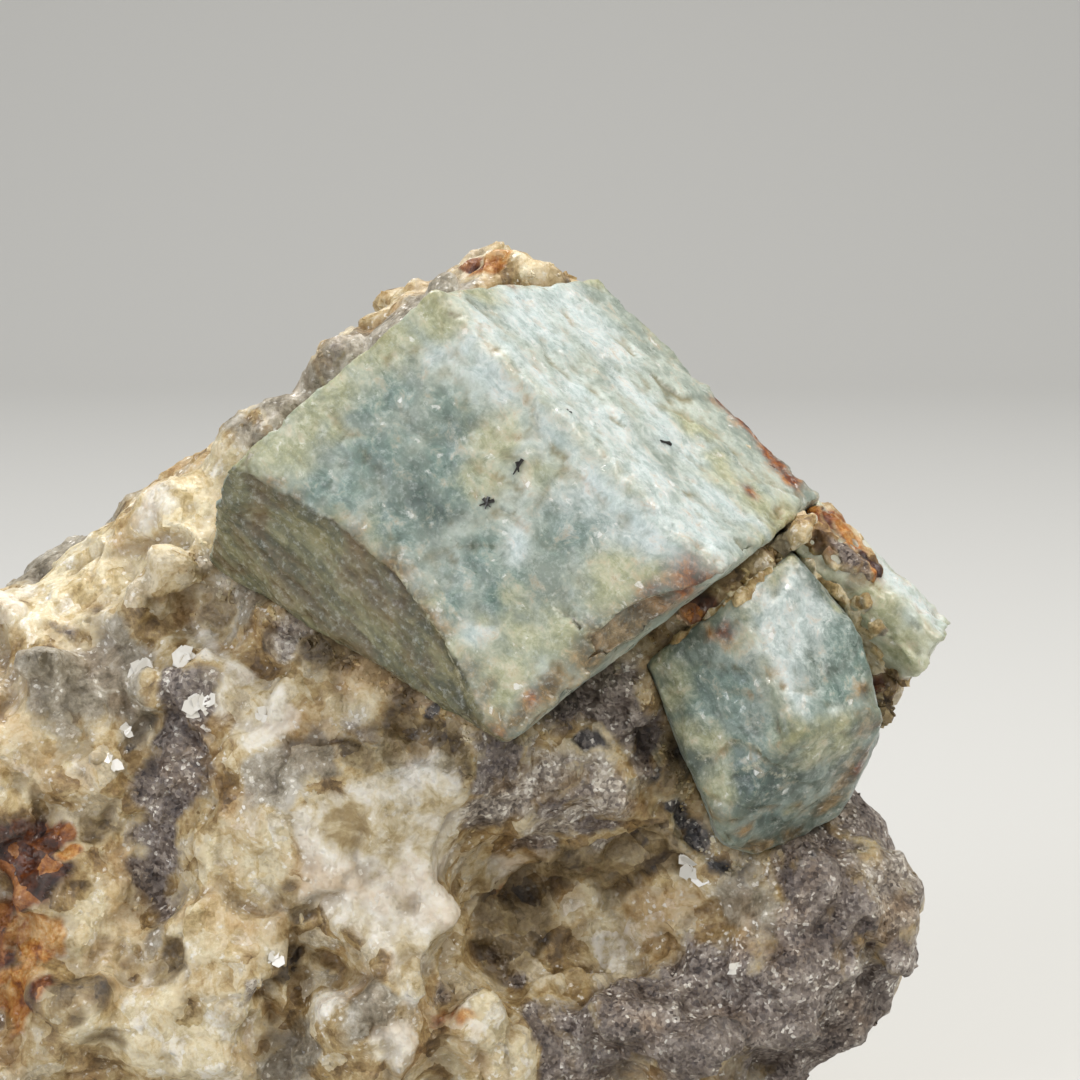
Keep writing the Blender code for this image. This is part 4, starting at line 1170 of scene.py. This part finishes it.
def stacked(line, half_width, sides, top, amount, dice):
    """Places along a gap, at any depth from just under the lower of its two faces to the rock."""
    found = []
    runs = list(itertools.pairwise([Vector((*corner, 0.0)) for corner in line]))
    for _ in range(amount):
        start, end = dice.choice(runs)
        spot = start.lerp(end, dice.random())
        spot += Vector((dice.uniform(-1, 1), dice.uniform(-1, 1), 0.0)) * half_width
        face = max((seen(spot.x, spot.y, side)[0] - EYE).length for side in sides) + top
        floor_place = seen(spot.x, spot.y, "matrix")[0]
        way = (floor_place - EYE).normalized()
        deep = max(face + 0.5, min((floor_place - EYE).length, face + DEEPEST))
        found.append((EYE + way * (face + (deep - face) * dice.random() ** 1.5), -AHEAD))
    return found


seam_dice = random.Random(51)
seam_spots = [spot for line, half_width, sides, top, amount in SEAMS
              for spot in stacked(line, half_width, sides, top, amount, seam_dice)]
seam_blotches = blotches_of(SEAM_MARKS, "main_crystal")
seams = lay_grains("seam_crumbs", seam_spots, (0.6, 1.5), 8, False, 0.0, 52, seam_blotches, fused=0.25)
finish(seams, pegmatite, "pegmatite", 180)

# %% [markdown]
# Four specks of a black mineral sit on the main crystal's faces. Each is a few short needles that cross.

# %% Black specks
tourmaline = new_coat("black_tourmaline", {"Base Color": colour("#17130F"), "Roughness": 0.35,
                                           "IOR": 1.64})[0]
# across, down, and the needles: length in mm and turn in degrees
SPECKS = [(487, 503, [(1.5, 20), (1.2, 75), (1.1, 130)]), (518, 467, [(1.7, 60), (1.0, 100)]),
          (565, 412, [(1.3, -30), (0.7, 10)]), (665, 443, [(1.3, -35), (1.1, -15)])]
heap = bmesh.new()
for across, down, needles in SPECKS:
    place, facing = seen(across, down, "main_crystal")
    across_face = facing.cross(Vector((0.0, 0.0, 1.0))).normalized()
    for length, turn in needles:
        lie = Matrix.Rotation(math.radians(turn), 4, facing) @ across_face
        stand = lie.to_track_quat("Z", "Y").to_matrix().to_4x4()
        bmesh.ops.create_cone(heap, cap_ends=True, segments=6, radius1=0.20, radius2=0.06, depth=length,
                              matrix=Matrix.Translation(place + facing * 0.08) @ stand)
specks = piece_of(heap, "black_specks")
finish(specks, tourmaline, "pegmatite", 30)

# %% [markdown]
# Mica peels in thin bright sheets. Each patch in this rock is a small heap of flakes, six-sided at best and
# mostly torn, which lie nearly in one plane and so flash together.

# %% Mica flakes
mica = new_coat("silver_mica", {"Base Color": colour("#E6E2D8"), "Roughness": 0.25, "IOR": 1.6,
                                "Specular IOR Level": 0.9})[0]
# across, down, the patch's width and height in mm, its turn in the picture in degrees, and how many flakes
PATCHES = [(692, 866, 2.4, 3.8, 10, 7), (198, 705, 4.0, 2.0, 25, 9), (186, 662, 2.0, 3.4, -10, 8),
           (138, 668, 3.0, 1.4, 20, 6), (112, 762, 2.6, 1.0, -35, 5), (126, 736, 1.0, 2.6, -10, 4),
           (842, 552, 2.6, 1.6, 40, 7), (826, 538, 1.6, 1.0, 0, 4), (735, 968, 1.6, 1.2, 30, 4),
           (275, 958, 2.2, 1.0, -20, 4), (262, 716, 1.6, 1.6, 20, 3)]
FLAKE = 0.08          # a flake's thickness, in mm
dice = random.Random(5)
heap = bmesh.new()
for across, down, width, height, turn, amount in PATCHES:
    place = seen(across, down, "rock")[0]
    lie = Matrix.Rotation(math.radians(turn), 4, -AHEAD)
    for _ in range(amount):
        bm = bmesh.new()
        radius = dice.uniform(0.25, 0.55) * max(width, height) ** 0.7
        bmesh.ops.create_circle(bm, cap_ends=True, segments=6, radius=radius)
        for vert in bm.verts:
            vert.co *= dice.uniform(0.55, 1.15)
        bmesh.ops.solidify(bm, geom=bm.faces[:], thickness=FLAKE)
        bmesh.ops.recalc_face_normals(bm, faces=bm.faces)
        lean = (Matrix.Rotation(math.radians(dice.gauss(0, 14)), 4, "X")
                @ Matrix.Rotation(dice.gauss(0, 0.25), 4, "Y"))
        stand = (EYE - place).to_track_quat("Z", "Y").to_matrix().to_4x4()
        shift = lie @ (RIGHT * dice.uniform(-0.3, 0.3) * width + UP * dice.uniform(-0.3, 0.3) * height)
        bm.transform(Matrix.Translation(place + shift - AHEAD * dice.uniform(0.0, 0.25)) @ stand @ lean)
        mesh = bpy.data.meshes.new("flake")
        bm.to_mesh(mesh)
        heap.from_mesh(mesh)
        bpy.data.meshes.remove(mesh)
        bm.free()
flakes = piece_of(heap, "mica_flakes")
finish(flakes, mica, "pegmatite", 20)

# %% [markdown]
# The studio is plain: a pale floor that curves up behind the specimen, one large soft light from the upper
# right, where it grazes the crystals' faces, and a weaker one from the left to open the shadows. One more
# from above rounds the top, and the last lights the backdrop.

# %% Studio
FLOOR_HALF = 0.9      # in metres, as all of the studio
BEND = 0.35           # the radius of the curve behind
WALL = 1.2
floor_bm = bmesh.new()
bmesh.ops.create_grid(floor_bm, x_segments=1, y_segments=1, size=FLOOR_HALF)
back_edge = [edge for edge in floor_bm.edges if all(vert.co.y > 0 for vert in edge.verts)]
turned = bmesh.ops.spin(floor_bm, geom=back_edge, cent=(0, FLOOR_HALF, BEND), axis=(1, 0, 0), dvec=(0, 0, 0),
                        angle=math.radians(90), steps=16, space=Matrix(), use_duplicate=False)
top = [part for part in turned["geom_last"] if isinstance(part, bmesh.types.BMEdge)]
wall = bmesh.ops.extrude_edge_only(floor_bm, edges=top)["geom"]
upper = [part for part in wall if isinstance(part, bmesh.types.BMVert)]
bmesh.ops.translate(floor_bm, vec=(0, 0, WALL), verts=upper)
bmesh.ops.recalc_face_normals(floor_bm, faces=floor_bm.faces)
mesh = bpy.data.meshes.new("floor")
floor_bm.to_mesh(mesh)
floor_bm.free()
mesh.shade_smooth()
floor = bpy.data.objects.new("floor", mesh)
bpy.context.scene.collection.objects.link(floor)
mesh.materials.append(new_coat("matt_paper", {"Base Color": colour("#C9C8C4"), "Roughness": 0.9})[0])
floor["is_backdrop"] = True


def softbox(name, place, size, power, tint):
    """A square area light that looks at the crystals."""
    lamp = bpy.data.lights.new(name, "AREA")
    lamp.energy = power
    lamp.size = size
    lamp.color = colour(tint)[:3]
    made = bpy.data.objects.new(name, lamp)
    bpy.context.scene.collection.objects.link(made)
    made.location = place
    aim = TO_FRAME @ LOOK_AT - Vector(place)
    made.rotation_mode = "QUATERNION"
    made.rotation_quaternion = aim.to_track_quat("-Z", "Y")


softbox("key", (0.36, -0.30, 0.56), 0.26, 2.45, "#FFFBF4")
softbox("fill", (-0.45, -0.50, 0.30), 0.45, 2.2, "#F4F7FF")
softbox("top", (-0.05, 0.15, 0.65), 0.35, 1.0, "#FFFFFF")
softbox("backdrop", (0.0, 0.45, 1.30), 0.90, 11.0, "#FFFFFF")
world = bpy.data.worlds.new("studio")
world.use_nodes = True
world.node_tree.nodes["Background"].inputs["Color"].default_value = colour("#E6E6E6")
world.node_tree.nodes["Background"].inputs["Strength"].default_value = 0.4
bpy.context.scene.world = world
bpy.context.scene.view_settings.view_transform = "Standard"

# %% [markdown]
# The box that the visible stone fills is measured. The visible stone has to stay within the
# solids' box.

# %% Sizes, and the end
low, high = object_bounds()
